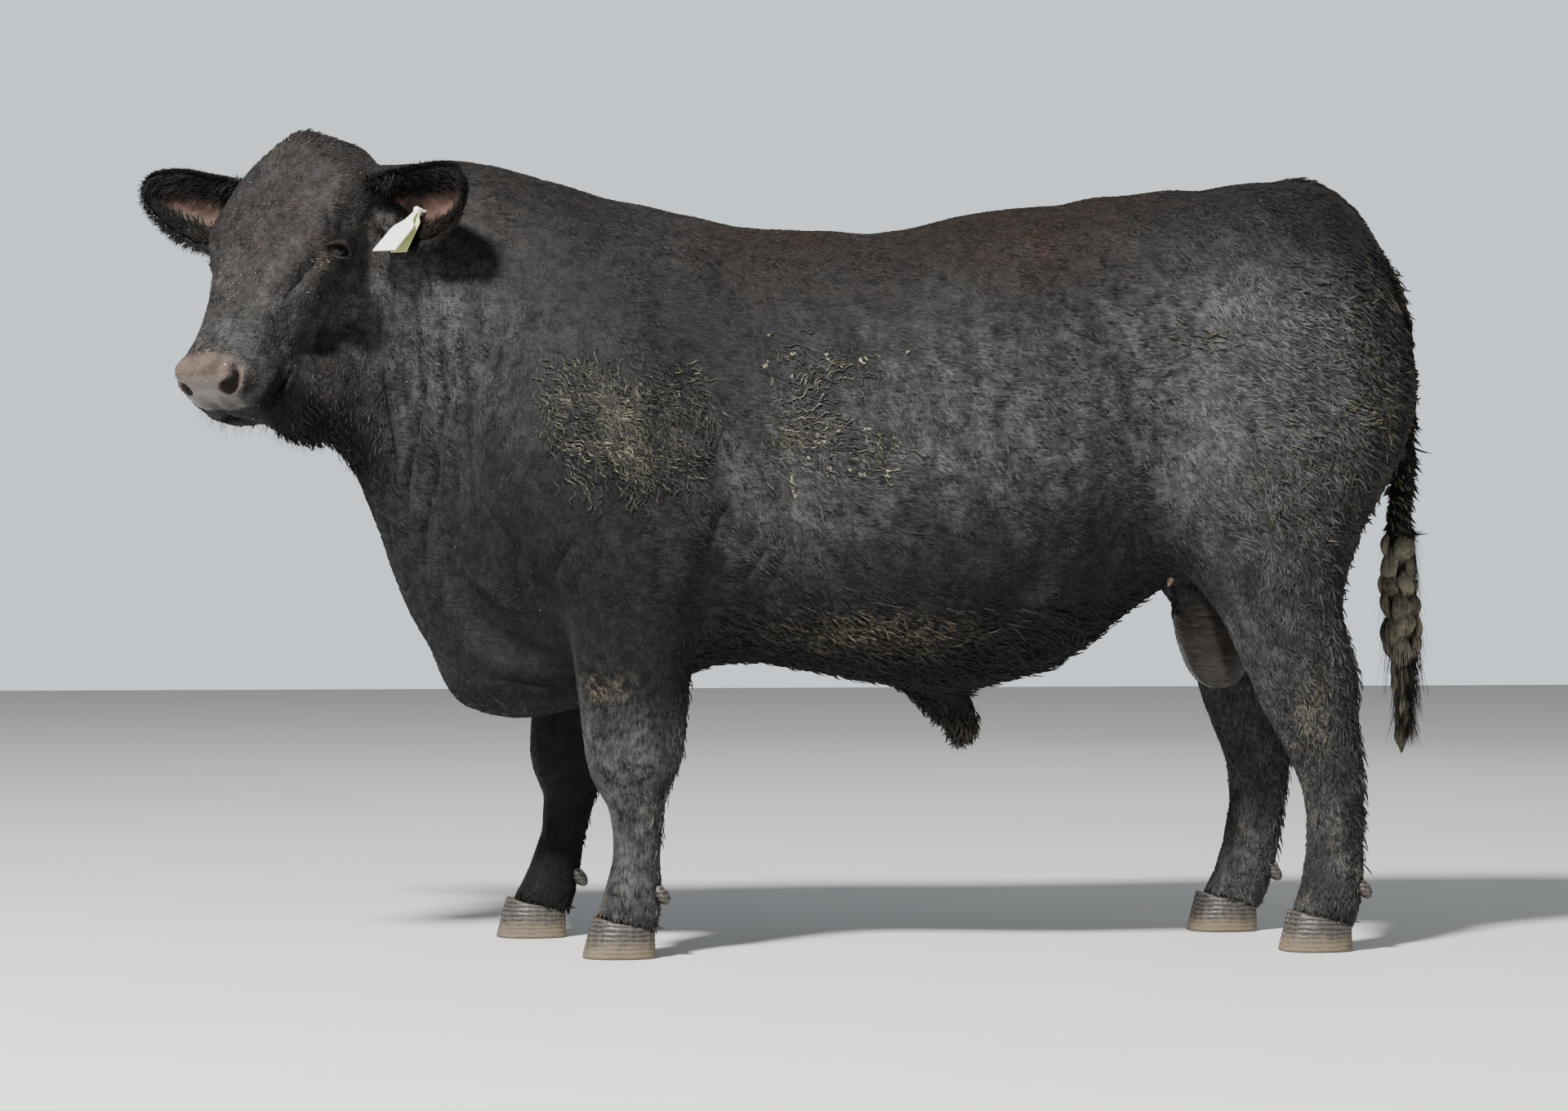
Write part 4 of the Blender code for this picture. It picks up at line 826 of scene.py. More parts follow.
def coat_colour_group() -> bpy.types.NodeTree:
    """The coat's colour: near black, grey under painted sheen and sunlight with some dust, browner where
    sun has bleached it, darkened by painted shade in folds and hollows, with tan dust, and powdered with
    mud where mud dried on it.

    Returns:
        A group that puts out the colour and how much mud there is.
    """
    group, wire, given, out = shader_group("coat colour", {"Shade": 0.5}, {"Color": COLOR, "Mud": NUMBER})
    shade = given.outputs["Shade"]
    patchy = wire.span(wire.noise(5.0, 4.0, 0.6), 0.38, 0.62, 0.35)
    sun = wire.maths("MULTIPLY", wire.value_of("brown"), patchy)
    # Painted sheen and sunlight, with some dust: the coat turns from black to grey where that mark is high,
    # broken up by two noises.
    mottle = wire.span(wire.noise(24.0, 4.0), 0.36, 0.62, 0.66, 1.05)
    tufted = wire.span(wire.noise(85.0, 4.0, 0.65), 0.36, 0.64, 0.70, 1.15)
    sheen_and_dust_level = wire.maths("MULTIPLY", wire.value_of("bloom"), wire.maths("MULTIPLY", mottle, tufted))
    coat = wire.mix(sheen_and_dust_level, wire.mix(shade, *BLACK), wire.mix(shade, *SHEEN_AND_DUST_GREY))
    coat = wire.mix(sun, coat, wire.mix(shade, *BLEACHED))
    # Painted shade: folds, chin, eye hollows and ear roots darkened towards near black.
    coat = wire.mix(wire.maths("MULTIPLY", wire.value_of("crease"), 0.85), coat, PAINTED_SHADE)
    specks = wire.noise(95.0, 3.0, 0.65)
    streak = wire.maths("ADD", wire.maths("MULTIPLY", specks, 0.6), wire.maths("MULTIPLY", shade, 0.4))
    tan = wire.maths("MULTIPLY", wire.value_of("tan"), wire.span(streak, 0.44, 0.60))
    coat = wire.mix(tan, coat, TAN_DUST)
    crumbs = wire.noise(60.0, 4.0, 0.6)
    level = wire.maths("ADD", wire.value_of("mud"), wire.maths("MULTIPLY", crumbs, 0.9))
    muddy = wire.span(level, 1.20, 1.75)
    coat = wire.mix(wire.maths("MULTIPLY", muddy, 0.85), coat, wire.mix(specks, *MUDDY))
    wire.feed(out, Color=coat, Mud=muddy)
    return group


def hair_grain_group() -> bpy.types.NodeTree:
    """Fine combed streaks: noise drawn out along the lie, upright on the legs.

    Returns:
        A group that puts out the height of the streaks.
    """
    group, wire, given, out = shader_group("hair grain", {"Upright": 0.0}, {"Height": NUMBER})
    slanted = wire.noise(300.0, 4.0, 0.65, (0.14, 1.0, 1.0), (0.0, math.radians(-38.0), 0.0))
    upright = wire.noise(300.0, 4.0, 0.65, (1.0, 1.0, 0.14))
    both = wire.between(given.outputs["Upright"], slanted, upright)
    wire.feed(out, Height=wire.maths("ADD", both, wire.maths("MULTIPLY", wire.noise(46.0, 2.0, 0.5), 0.8)))
    return group


def pore_group() -> bpy.types.NodeTree:
    """Bare skin: rounded grains parted by fine furrows, and broad wrinkles.

    Returns:
        A group that puts out the height and how deep in a furrow a point lies.
    """
    group, wire, given, out = shader_group("skin grain", {"Scale": 420.0},
                                           {"Height": NUMBER, "Furrow": NUMBER})
    place = wire.node("ShaderNodeTexCoord").outputs["Object"]
    cells = wire.node("ShaderNodeTexVoronoi", {"Vector": place, "Scale": given.outputs["Scale"]},
                      feature="DISTANCE_TO_EDGE")
    grain = wire.span(cells.outputs["Distance"], 0.0, 0.22)
    wrinkle = wire.maths("MULTIPLY", wire.noise(70.0, 3.0, 0.6), 1.2)
    wire.feed(out, Height=wire.maths("ADD", grain, wrinkle), Furrow=wire.maths("SUBTRACT", 1.0, grain))
    return group


def new_material(name: str) -> tuple[bpy.types.Material, Wiring, bpy.types.Node]:
    """A material with one Principled BSDF, its wiring, and that shader."""
    material = bpy.data.materials.new(name)
    material.use_nodes = True
    wiring = Wiring(material.node_tree)
    return material, wiring, material.node_tree.nodes["Principled BSDF"]


def put(shader: bpy.types.Node, **values: object) -> None:
    """Sets the shader's own sockets; underscores stand for spaces."""
    for key, value in values.items():
        shader.inputs[key.replace("_", " ")].default_value = value


@dataclass(frozen=True)
class CoatFinish:
    """Black hair, with the same markings on hide and tufts; the hide also has its bare skin."""

    name: str
    hide: bool
    roughness: float = 0.58
    pad: tuple = ((0.120, 0.088, 0.077), (0.050, 0.038, 0.033))
    pad_grain: tuple = ((0.058, 0.047, 0.035), (0.014, 0.011, 0.009))
    crust: tuple = (0.200, 0.150, 0.092)
    purse: tuple = ((0.020, 0.016, 0.0135), (0.048, 0.039, 0.032))
    cup: tuple = ((0.088, 0.054, 0.044), (0.042, 0.027, 0.023))

    def build(self, groups: dict[str, bpy.types.NodeTree]) -> bpy.types.Material:
        """Makes the material.

        Args:
            groups: the shared shader groups by name.

        Returns:
            The finished material.
        """
        material, wire, shader = new_material(self.name)
        put(shader, Specular_IOR_Level=0.10, Sheen_Weight=0.02, Sheen_Roughness=0.5, Coat_Roughness=0.10)
        if self.hide:
            grain = wire.group(groups["grain"], Upright=wire.value_of("upright"))["Height"]
            shade = wire.span(grain, 0.72, 1.08, 0.0, 0.75)
        else:
            speckle = wire.span(wire.noise(800.0, 2.0), 0.35, 0.65, -0.18, 0.18)
            shade = wire.maths("ADD", wire.value_of("shade"), speckle)
        coat = wire.group(groups["coat"], Shade=shade)
        paint, rough = coat["Color"], wire.span(coat["Mud"], 0.0, 1.0, self.roughness, 0.85)
        if self.hide:
            pores = wire.group(groups["pores"], Scale=260.0)
            paint, rough = self.bare(wire, shader, pores, grain, paint, rough)
        wire.feed(shader, Base_Color=paint, Roughness=rough)
        return material

    def bare(self, wire: Wiring, shader: bpy.types.Node, pores: dict, grain: bpy.types.NodeSocket,
             paint: bpy.types.NodeSocket, rough: bpy.types.NodeSocket) -> tuple:
        """Adds the nose pad, the cups of the ears and the wrinkled purse to the hide.

        Args:
            wire: the material's wiring.
            shader: its shader, whose wetness and bump are set here.
            pores: the outputs of the skin grain.
            grain: the height of the hair.
            paint: the coat's colour.
            rough: the coat's roughness.

        Returns:
            The new colour and roughness.
        """
        bare, purse = wire.value_of("bare"), wire.value_of("purse")
        blotch = wire.span(wire.noise(26.0, 3.0), 0.42, 0.62)
        smooth = wire.mix(wire.maths("MULTIPLY", blotch, 0.7), *self.pad)
        pink = wire.mix(wire.value_of("low"), smooth, wire.mix(pores["Furrow"], *self.pad_grain))
        crust = wire.maths("MULTIPLY", wire.value_of("crust"), wire.span(wire.noise(75.0, 3.0), 0.40, 0.58))
        paint = wire.mix(bare, paint, wire.mix(crust, pink, self.crust))
        wrinkle = wire.noise(260.0, 3.0, 0.6, (0.16, 0.16, 1.0), (0.0, math.radians(-22.0), 0.0))
        paint = wire.mix(purse, paint, wire.mix(wire.span(wrinkle, 0.35, 0.65), *self.purse))
        paint = wire.mix(wire.value_of("cup"), paint, wire.mix(blotch, *self.cup))
        wet = wire.maths("SUBTRACT", bare, wire.maths("MULTIPLY", crust, 0.8))
        damp = wire.maths("MAXIMUM", wet, wire.maths("MULTIPLY", purse, 0.2))
        height = wire.between(bare, grain, pores["Height"])
        height = wire.between(purse, height, wire.maths("MULTIPLY", wrinkle, 1.1))
        wire.feed(shader, Coat_Weight=wire.maths("MULTIPLY", damp, wire.span(blotch, 0.0, 1.0, 0.35, 0.85)),
                  Normal=wire.bumped(height, 0.8, 0.0020))
        return paint, wire.between(purse, wire.span(wet, 0.0, 1.0, rough, 0.20), 0.42)


@dataclass(frozen=True)
class MudFinish:
    """Dried dung and mud: khaki or olive, cracked and dull."""

    name: str
    dark: tuple
    pale: tuple
    size: float = 120.0
    thin: float = 0.30

    def build(self) -> bpy.types.Material:
        """Makes the material: the piece's own tone and two noises mix dark and pale."""
        material, wire, shader = new_material(self.name)
        put(shader, Specular_IOR_Level=0.25)
        grain = wire.noise(self.size, 4.0, 0.65)
        crack = wire.noise(self.size * 3.0, 3.0, 0.6, (1.0, 1.0, 0.35))
        tone = wire.maths("ADD", wire.maths("MULTIPLY", grain, 0.6), wire.maths("MULTIPLY", crack, 0.4))
        worn = wire.maths("ADD", wire.value_of("shade"), wire.span(tone, 0.35, 0.65, -0.28, 0.28))
        wire.feed(shader, Base_Color=wire.mix(wire.span(worn, self.thin, 0.97), self.dark, self.pale),
                  Roughness=wire.span(grain, 0.3, 0.7, 0.95, 0.75), Normal=wire.bumped(tone, 0.6, 0.002))
        return material


@dataclass(frozen=True)
class EyeFinish:
    """A dark wet eye: a brown iris round a long level pupil, dark brown at its rim."""

    name: str = "wet eye"
    iris: tuple = ((0.0040, 0.0028, 0.0024), (0.0130, 0.0080, 0.0060))
    pupil: tuple = (0.0012, 0.0014, 0.0022)
    white: tuple = ((0.012, 0.009, 0.008), (0.030, 0.022, 0.019))

    def build(self) -> bpy.types.Material:
        """Makes the material from the piece's own values for the iris and pupil."""
        material, wire, shader = new_material(self.name)
        put(shader, Roughness=0.05, Specular_IOR_Level=0.40, IOR=1.33)
        paint = wire.mix(wire.span(wire.noise(700.0, 3.0, 0.6), 0.35, 0.65), *self.iris)
        paint = wire.mix(wire.value_of("pupil"), paint, self.pupil)
        white = wire.mix(wire.span(wire.noise(160.0, 3.0), 0.4, 0.6), *self.white)
        wire.feed(shader, Base_Color=wire.mix(wire.value_of("white"), paint, white))
        return material


@dataclass(frozen=True)
class SkinFinish:
    """Bare skin of the teats."""

    name: str
    dark: tuple
    pale: tuple
    roughness: float

    def build(self, groups: dict[str, bpy.types.NodeTree]) -> bpy.types.Material:
        """Makes the material from the shared skin grain."""
        material, wire, shader = new_material(self.name)
        put(shader, Specular_IOR_Level=0.5, Roughness=self.roughness)
        pores = wire.group(groups["pores"], Scale=900.0)
        paint = wire.mix(wire.span(wire.noise(90.0, 3.0), 0.38, 0.62), self.dark, self.pale)
        paint = wire.mix(wire.maths("MULTIPLY", pores["Furrow"], 0.5), paint, self.dark)
        wire.feed(shader, Base_Color=paint, Normal=wire.bumped(pores["Height"], 0.4, 0.0008))
        return material


@dataclass(frozen=True)
class LidFinish:
    """The skin round an eye: black, dull red along the upper rim, grey along the lower, then hairy."""

    name: str = "lid skin"
    skin: tuple = ((0.0060, 0.0050, 0.0050), (0.0180, 0.0140, 0.0130))
    fur: tuple = ((0.0030, 0.0030, 0.0031), (0.0200, 0.0195, 0.0195))
    red: tuple = (0.052, 0.026, 0.019)
    grey: tuple = (0.095, 0.088, 0.082)

    def build(self, groups: dict[str, bpy.types.NodeTree]) -> bpy.types.Material:
        """Makes the material from the piece's own values and the shared skin grain."""
        material, wire, shader = new_material(self.name)
        put(shader, Specular_IOR_Level=0.24)
        fur = wire.value_of("fur")
        paint = wire.mix(wire.span(wire.noise(160.0, 3.0), 0.36, 0.64), *self.skin)
        paint = wire.mix(fur, paint, wire.mix(wire.span(wire.noise(900.0, 2.0), 0.35, 0.65), *self.fur))
        paint = wire.mix(wire.maths("MULTIPLY", wire.value_of("red"), 0.8), paint, self.red)
        paint = wire.mix(wire.maths("MULTIPLY", wire.value_of("grey"), 0.7), paint, self.grey)
        pores = wire.group(groups["pores"], Scale=900.0)
        wire.feed(shader, Base_Color=paint, Roughness=wire.span(fur, 0.0, 1.0, 0.46, 0.62),
                  Normal=wire.bumped(pores["Height"], 0.5, 0.0007))
        return material


@dataclass(frozen=True)
class HornFinish:
    """Hoof horn: dark grey with growth rings, scuffed pale towards the ground."""

    name: str = "hoof horn"
    rings: tuple = ((0.020, 0.018, 0.017), (0.060, 0.052, 0.045))
    streak: tuple = (0.110, 0.092, 0.072)
    soil: tuple = (0.125, 0.098, 0.066)

    def build(self) -> bpy.types.Material:
        """Makes the material: level bands bent by noise, mud at the foot."""
        material, wire, shader = new_material(self.name)
        put(shader, Specular_IOR_Level=0.45)
        place = wire.node("ShaderNodeTexCoord").outputs["Object"]
        bands = wire.node("ShaderNodeTexWave", {"Vector": place, "Scale": 38.0, "Distortion": 3.0,
                                                "Detail": 2.0, "Detail Scale": 1.5},
                          bands_direction="Z").outputs["Fac"]
        streaks = wire.noise(160.0, 3.0, 0.6, (1.0, 1.0, 0.15))
        paint = wire.mix(wire.span(bands, 0.2, 0.8), *self.rings)
        paint = wire.mix(wire.span(streaks, 0.5, 0.75, 0.0, 0.6), paint, self.streak)
        height = wire.node("ShaderNodeSeparateXYZ", {"Vector": place}).outputs["Z"]
        soil = wire.maths("ADD", wire.span(height, 0.0, 0.045, 0.55, 0.0),
                          wire.maths("MULTIPLY", wire.noise(55.0, 4.0), 0.6))
        relief = wire.maths("ADD", bands, wire.maths("MULTIPLY", streaks, 0.6))
        wire.feed(shader, Base_Color=wire.mix(wire.span(soil, 0.42, 0.72), paint, self.soil),
                  Roughness=wire.span(soil, 0.4, 0.7, 0.46, 0.85), Normal=wire.bumped(relief, 0.5, 0.0015))
        return material


@dataclass(frozen=True)
class TagFinish:
    """Weathered tag plastic with a film of dirt."""

    name: str
    clean: tuple
    dirty: tuple

    def build(self) -> bpy.types.Material:
        """Makes the material: streaks and specks of dirt over pale plastic."""
        material, wire, shader = new_material(self.name)
        put(shader, Specular_IOR_Level=0.5)
        film = wire.noise(60.0, 4.0, 0.6)
        dirt = wire.maths("MAXIMUM", wire.span(film, 0.56, 0.80, 0.0, 0.5),
                          wire.span(wire.noise(420.0, 2.0, 0.6), 0.66, 0.76, 0.0, 0.8))
        wire.feed(shader, Base_Color=wire.mix(dirt, self.clean, self.dirty),
                  Roughness=wire.span(dirt, 0.0, 0.6, 0.38, 0.75), Normal=wire.bumped(film, 0.2, 0.0006))
        return material


class Finishes:
    """Every material of the bull, built once."""

    def __init__(self) -> None:
        """Builds the shared groups, then the materials."""
        groups = {"coat": coat_colour_group(), "grain": hair_grain_group(), "pores": pore_group()}
        self.hide = CoatFinish("hide", True).build(groups)
        self.coat = CoatFinish("coat hair", False).build(groups)
        self.cake = MudFinish("dried cake", (0.014, 0.013, 0.010), (0.150, 0.131, 0.094)).build()
        self.flake = MudFinish("khaki flakes", (0.015, 0.015, 0.014), (0.370, 0.330, 0.240),
                               thin=0.46).build()
        self.clump = MudFinish("caked switch", (0.024, 0.021, 0.015), (0.172, 0.154, 0.116), 90.0).build()
        self.eye = EyeFinish().build()
        self.lid = LidFinish().build(groups)
        self.teat = SkinFinish("teat skin", (0.20, 0.125, 0.100), (0.40, 0.29, 0.235), 0.5).build(groups)
        self.horn = HornFinish().build()
        self.white_tag = TagFinish("white tag", (0.80, 0.80, 0.76), (0.30, 0.27, 0.20)).build()
        self.yellow_tag = TagFinish("yellow tag", (0.58, 0.62, 0.28), (0.26, 0.25, 0.14)).build()


# The hide.
@dataclass
class Hide:
    """One skin over head, trunk, legs and tail, with its ears, lying inside the solids."""

    anatomy: Anatomy
    voxel: float = 0.0062
    magnify: float = 2.0
    near_reach: float = 0.30
    far_reach: float = 0.62
    coarser: float = 1.6
    rounds: int = 60
    pull: float = 0.60
    push: float = 0.35
    sink: float = 0.0028
    triangles: int = 176000

    def warp_table(self) -> tuple[Array, Array]:
        """Distances from the head's middle and what they become: steep near it, plain further off."""
        reach = np.linspace(0.0, 4.0, 2001)
        slope = 1.0 + (self.magnify - 1.0) * (1.0 - ease(reach, self.near_reach, self.far_reach))
        grown = np.concatenate([[0.0], np.cumsum((slope[1:] + slope[:-1]) / 2 * np.diff(reach))])
        return reach, grown

    def swell(self, points: Array, back: bool = False) -> Array:
        """Spreads space round the head, so that even steps of a grid are finer there, or undoes it."""
        centre = self.anatomy.head.place(0.32, 0.0, -0.12)
        reach, grown = self.warp_table()
        away = points - centre
        distance = np.linalg.norm(away, axis=1)
        new = np.interp(distance, grown, reach) if back else np.interp(distance, reach, grown)
        return centre + away * (new / np.maximum(distance, TINY))[:, None]

    def remeshed(self) -> tuple[Array, Array, Array]:
        """One even closed surface over all the solids: small cubes in the spread-out space.

        Returns:
            Its points, its triangles and its edges.
        """
        points, triangles = joined(settled(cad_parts[name])[:2] for name in FLESH)
        size = self.voxel * 1.0
        points, triangles, edges = reworked(self.swell(points), triangles, {
            "WELD": {"merge_threshold": WELD}, "REMESH": {"mode": "VOXEL", "voxel_size": size}})
        keep = self.largest(len(points), edges)
        order = np.cumsum(keep) - 1
        triangles = order[triangles[keep[triangles[:, 0]]]]
        edges = order[edges[keep[edges[:, 0]]]]
        return self.swell(points[keep], back=True), triangles, edges

    @staticmethod
    def largest(count: int, edges: Array) -> Array:
        """Which points belong to the largest joined surface: labels sink along edges until they rest."""
        label = np.arange(count)
        for _ in range(400):
            low = np.minimum(label[edges[:, 0]], label[edges[:, 1]])
            new = label.copy()
            np.minimum.at(new, label[edges[:, 0]], low)
            np.minimum.at(new, label[edges[:, 1]], low)
            new = np.minimum(new, new[label])
            new = new[new]
            if (new == label).all():
                break
            label = new
        names, sizes = np.unique(label, return_counts=True)
        return label == names[sizes.argmax()]

    def smoothed(self, points: Array, edges: Array) -> Array:
        """Rounds the facets off: each point moves towards its neighbours' mean, then half way back.

        The move is a share of the gap to the mean, larger on the trunk than on legs, face and tail.
        """
        zone = self.anatomy.regions(points)
        share = 1.0 - 0.80 * zone["leg"] - 0.5 * zone["head"] * (1 - zone["leg"])
        share *= 1.0 - 0.90 * zone["tail"]
        share *= 1.0 - 0.75 * np.maximum(zone["pad"], zone["lips"])
        eyes = mound(folded(self.anatomy.head.local(points)), self.anatomy.head.eye, (0.035, 0.035, 0.035))
        share *= 1.0 - 0.85 * ease(eyes, 0.2, 0.6) * zone["head"]
        share = np.clip(share, 0.04, 1.0)[:, None]
        ends = np.concatenate([edges[:, 0], edges[:, 1]])
        others = np.concatenate([edges[:, 1], edges[:, 0]])
        order = np.argsort(ends, kind="stable")
        others = others[order]
        counts = np.bincount(ends, minlength=len(points))
        starts = np.concatenate([[0], np.cumsum(counts)[:-1]])
        places = points.copy()
        for _ in range(self.rounds):
            mean = np.add.reduceat(places[others], starts, axis=0) / counts[:, None]
            places += self.pull * share * (mean - places)
            mean = np.add.reduceat(places[others], starts, axis=0) / counts[:, None]
            places -= self.push * share * (mean - places)
        return places

    def mouth_line(self) -> Array:
        """The line between the lips, round the muzzle from corner to corner."""
        sweep = np.linspace(-1.0, 1.0, 17)
        angle = sweep * math.radians(112.0)
        along = 0.464 + 0.064 * np.cos(angle) - 0.040 * np.clip(np.abs(sweep) - 0.80, 0.0, 1.0) * 5
        return self.anatomy.head.place(along, 0.078 * np.sin(angle), -0.136 - 0.012 * sweep ** 2)

    def sculpted(self, points: Array, triangles: Array) -> Array:
        """Sinks the skin by the coat's depth and adds creases, ridges and fine wrinkles.

        A crease's depth is its height times exp of minus the distance from its path over its
        width, with a lower swelling of the other sign on both its sides, faded at its ends.
        """
        normals = point_turns(points, triangles)
        zone = self.anatomy.regions(points)
        move = -self.sink * (1 - 0.7 * zone["pad"])
        for fold, near, gap, fade in folds_near(points):
            shape = np.exp(-gap / (0.62 * fold.width))
            shape -= 0.38 * np.exp(-((gap - 2.1 * fold.width) / (1.3 * fold.width)) ** 2)
            move[near] += fold.height * shape * fade
        gap, along = path_distance(points, self.mouth_line())
        ends = ease(-np.abs(along - 0.5), -0.5, -0.42)
        move -= 0.0105 * np.exp(-(gap / 0.0038) ** 2) * zone["head"] * ends
        move += 0.0022 * np.exp(-((gap - 0.010) / 0.006) ** 2) * zone["head"]
        mirrored = folded(self.anatomy.head.local(points))
        for form in FORMS:
            move += form.at(mirrored) * zone["head"]
        move -= 0.0092 * self.anatomy.pleats(points)
        move += 0.0006 * zone["purse"] * np.sin(points[:, 2] * 760 + 2.5 * Ripple(22, 0.05).at(points))
        move -= 0.020 * mound(points, (0.175, 0.0, 0.440), (0.055, 0.08, 0.040)) * (points[:, 2] < 0.52)
        move += 0.0016 * Ripple(23, 0.16).at(points) * (1 - zone["head"]) * (1 - zone["leg"])
        return points + normals * move[:, None]

    def build(self) -> None:
        """Makes the skin's arrays: remesh, smooth, sculpt, thin, then read them back."""
        points, triangles, edges = self.remeshed()
        LOG.info("hide: %d points after the remesh", len(points))
        points = self.sculpted(self.smoothed(points, edges), triangles)
        share = min(1.0, self.triangles / len(triangles))
        self.points, self.faces, _ = reworked(points, triangles, {"DECIMATE": {"ratio": share}})
        self.normals = point_turns(self.points, self.faces)
        self.zone = self.anatomy.regions(self.points)
        self.marks = self.anatomy.markings(self.points, self.normals, self.zone)
        LOG.info("hide: %d triangles", len(self.faces))

    def dress(self, finishes: Finishes, ears: list["Ear"]) -> bpy.types.Object:
        """Makes the skin piece with its ears joined, and writes the values that its finish reads."""
        zone, local = self.zone, self.anatomy.head.local(self.points)
        crust = ease(local[:, 2], -0.016, -0.005)
        crust += 0.3 * mound(folded(local), (0.488, 0.078, -0.046), (0.014, 0.006, 0.018))
        own = {"bare": zone["pad"], "crust": np.clip(crust, 0, 1), "purse": zone["purse"],
               "low": ease(-local[:, 2], 0.052, 0.082) * zone["head"], "upright": zone["leg"], **self.marks}
        parts = [(self.points, self.faces, own)] + [ear.surface() for ear in ears]
        piece = mesh_object("skin", *joined(part[:2] for part in parts), finishes.hide)
        for key in ("bare", "crust", "low", "purse", "cup", "upright", *MARKS):
            values = [given.get(key, np.zeros(len(points))) for points, _, given in parts]
            set_values(piece, **{key: np.concatenate(values)})
        return finish_piece(piece, "coat", *FLESH, "ear_left", "ear_right")


@dataclass
class Ear:
    """One ear: a leaf bent into a cup, rolled at its root, with ribs inside."""

    side: float
    head: HeadFrame
    place: tuple = (0.052, 0.120, -0.112)
    length: float = 0.240
    breadth: float = 0.092
    thickness: float = 0.007
    sag: float = 0.033
    rows: int = 46
    columns: int = 41

    def axes(self) -> tuple[Array, Array, Array]:
        """Where the ear points, which way its cup opens, and the way up across its breadth."""
        swing = math.radians(11.0 if self.side > 0 else 25.0)
        rise = -0.02 if self.side > 0 else 0.035
        head = self.head
        point = unit(self.side * head.cheek * math.cos(swing) + head.ahead * math.sin(swing) + UP * rise)
        opens = head.ahead * math.cos(swing) - self.side * head.cheek * math.sin(swing) - UP * 0.18
        opens = unit(opens - point * (opens @ point))
        breadth = np.cross(point, opens)
        return point, opens, breadth * np.sign(breadth[2])

    def leaf(self, s: Array, t: Array, depth: Array) -> Array:
        """Points on the ear.

        The half breadth is a power of a sine of s, bent round an arc that is nearly closed at the
        root and shallow at the tip; the middle line sags with a sine of s.

        Args:
            s: the way from root to tip, 0 to 1.
            t: the way from the lower to the upper edge, -1 to 1.
            depth: how far in from the ear's back.

        Returns:
            The places, in an array one longer than the others.
        """
        point, opens, breadth = self.axes()
        leaf = self.breadth * np.sin(np.pi * np.clip(s, 0.0, 1.0) ** 0.72) ** 0.46
        half = np.maximum(leaf, 0.052 * (1 - s) ** 1.5 + 0.002)
        bend = np.radians(160.0 - 116.0 * s ** 0.36)
        radius = half / bend
        base = self.head.place(self.place[0], self.side * self.place[1], self.place[2])
        out = np.sin(t * bend) * (radius - depth)
        back = radius * 0.4 - np.cos(t * bend) * (radius - depth)
        sag = self.sag * np.sin(np.pi * s ** 0.8)
        return (base + (s * self.length)[..., None] * point + (out - sag)[..., None] * breadth
                + back[..., None] * opens)

    def surface(self) -> tuple[Array, Array, dict[str, Array]]:
        """The closed ear: its back and its cup on one round grid, its tip and root drawn together.

        Returns:
            Its points, its triangles and the values that the hide's finish reads.
        """
        s = np.linspace(0.02, 0.992, self.rows)
        t = np.linspace(-1.0, 1.0, self.columns)
        grid_s, grid_t = np.meshgrid(s, t, indexing="ij")
        stalk = 0.014 * (1 - grid_s) ** 5
        thick = np.minimum(self.thickness * (1.0 - 0.45 * grid_s) + stalk, 0.030 * (1.0 - grid_s) + 0.0008)
        thick = thick * (0.35 + 0.65 * (1 - np.abs(grid_t) ** 6))
        ribs = 0.0022 * np.cos(grid_t * 11.0 + 1.5 * grid_s)
        ribs = ribs * ease(grid_s, 0.10, 0.3) * ease(-grid_s, -0.9, -0.6)
        backs = self.leaf(grid_s, grid_t, np.full_like(grid_s, 0.0012))
        over = grid_t[:, ::-1]
        cup = self.leaf(grid_s, over * 0.985, thick + ribs * (1 - np.abs(over) ** 3))
        rings = np.concatenate([backs, cup], axis=1)
        columns = rings.shape[1]
        points = np.concatenate([rings.reshape(-1, 3), rings[-1].mean(0)[None]])
        quads = grid_faces(self.rows, columns, closed=True)
        tip = fan(np.arange((self.rows - 1) * columns, self.rows * columns), len(points) - 1)
        if self.side > 0:
            quads, tip = quads[:, ::-1], tip[:, ::-1]
        faces = np.concatenate([halved(quads), tip])
        if (point_turns(points, faces)[0] @ (rings[0, 0] - rings[0].mean(0))) < 0:
            faces = faces[:, ::-1]
        inside = np.zeros((self.rows, columns))
        flesh = ease(-s, -0.90, -0.70)[:, None] * ease(-t[::-1], -0.62, -0.15)[None]
        inside[:, self.columns:] = ease(-np.abs(t[::-1]), -0.97, -0.80) * (0.10 + 0.90 * flesh)
        own = {"cup": np.concatenate([inside.ravel(), [0.0]]),
               "brown": np.full(len(points), 0.35), "tan": np.full(len(points), 0.06)}
        return points, faces, own


# The coat.
@dataclass
class Tufts:
    """Finished tufts: corners, triangles, tones, places on the unwrap, and the corners of each tuft."""

    points: Array
    triangles: Array
    tone: Array
    flat: Array
    per: int

    def piece(self, name: str, finish: bpy.types.Material, slot: str = "coat",
              **extra: Array) -> bpy.types.Object:
        """Turns the arrays into a piece with its unwrap.

        Args:
            name: the piece's name.
            finish: its material.
            slot: not used.
            extra: one value for each tuft, by name.

        Returns:
            The dressed piece.
        """
        piece = mesh_object(name, self.points, self.triangles, finish)
        set_values(piece, shade=self.tone)
        set_values(piece, **{key: np.repeat(value, self.per) for key, value in extra.items()})
        layer = piece.data.uv_layers.new(name="OFBake")
        corner = np.empty(len(piece.data.loops), dtype=np.int32)
        piece.data.loops.foreach_get("vertex_index", corner)
        layer.data.foreach_set("uv", np.ascontiguousarray(self.flat[corner], dtype=np.float32).ravel())
        LOG.info("%s: %d tufts", name, len(self.points) // self.per)
        return finish_piece(piece, slot)


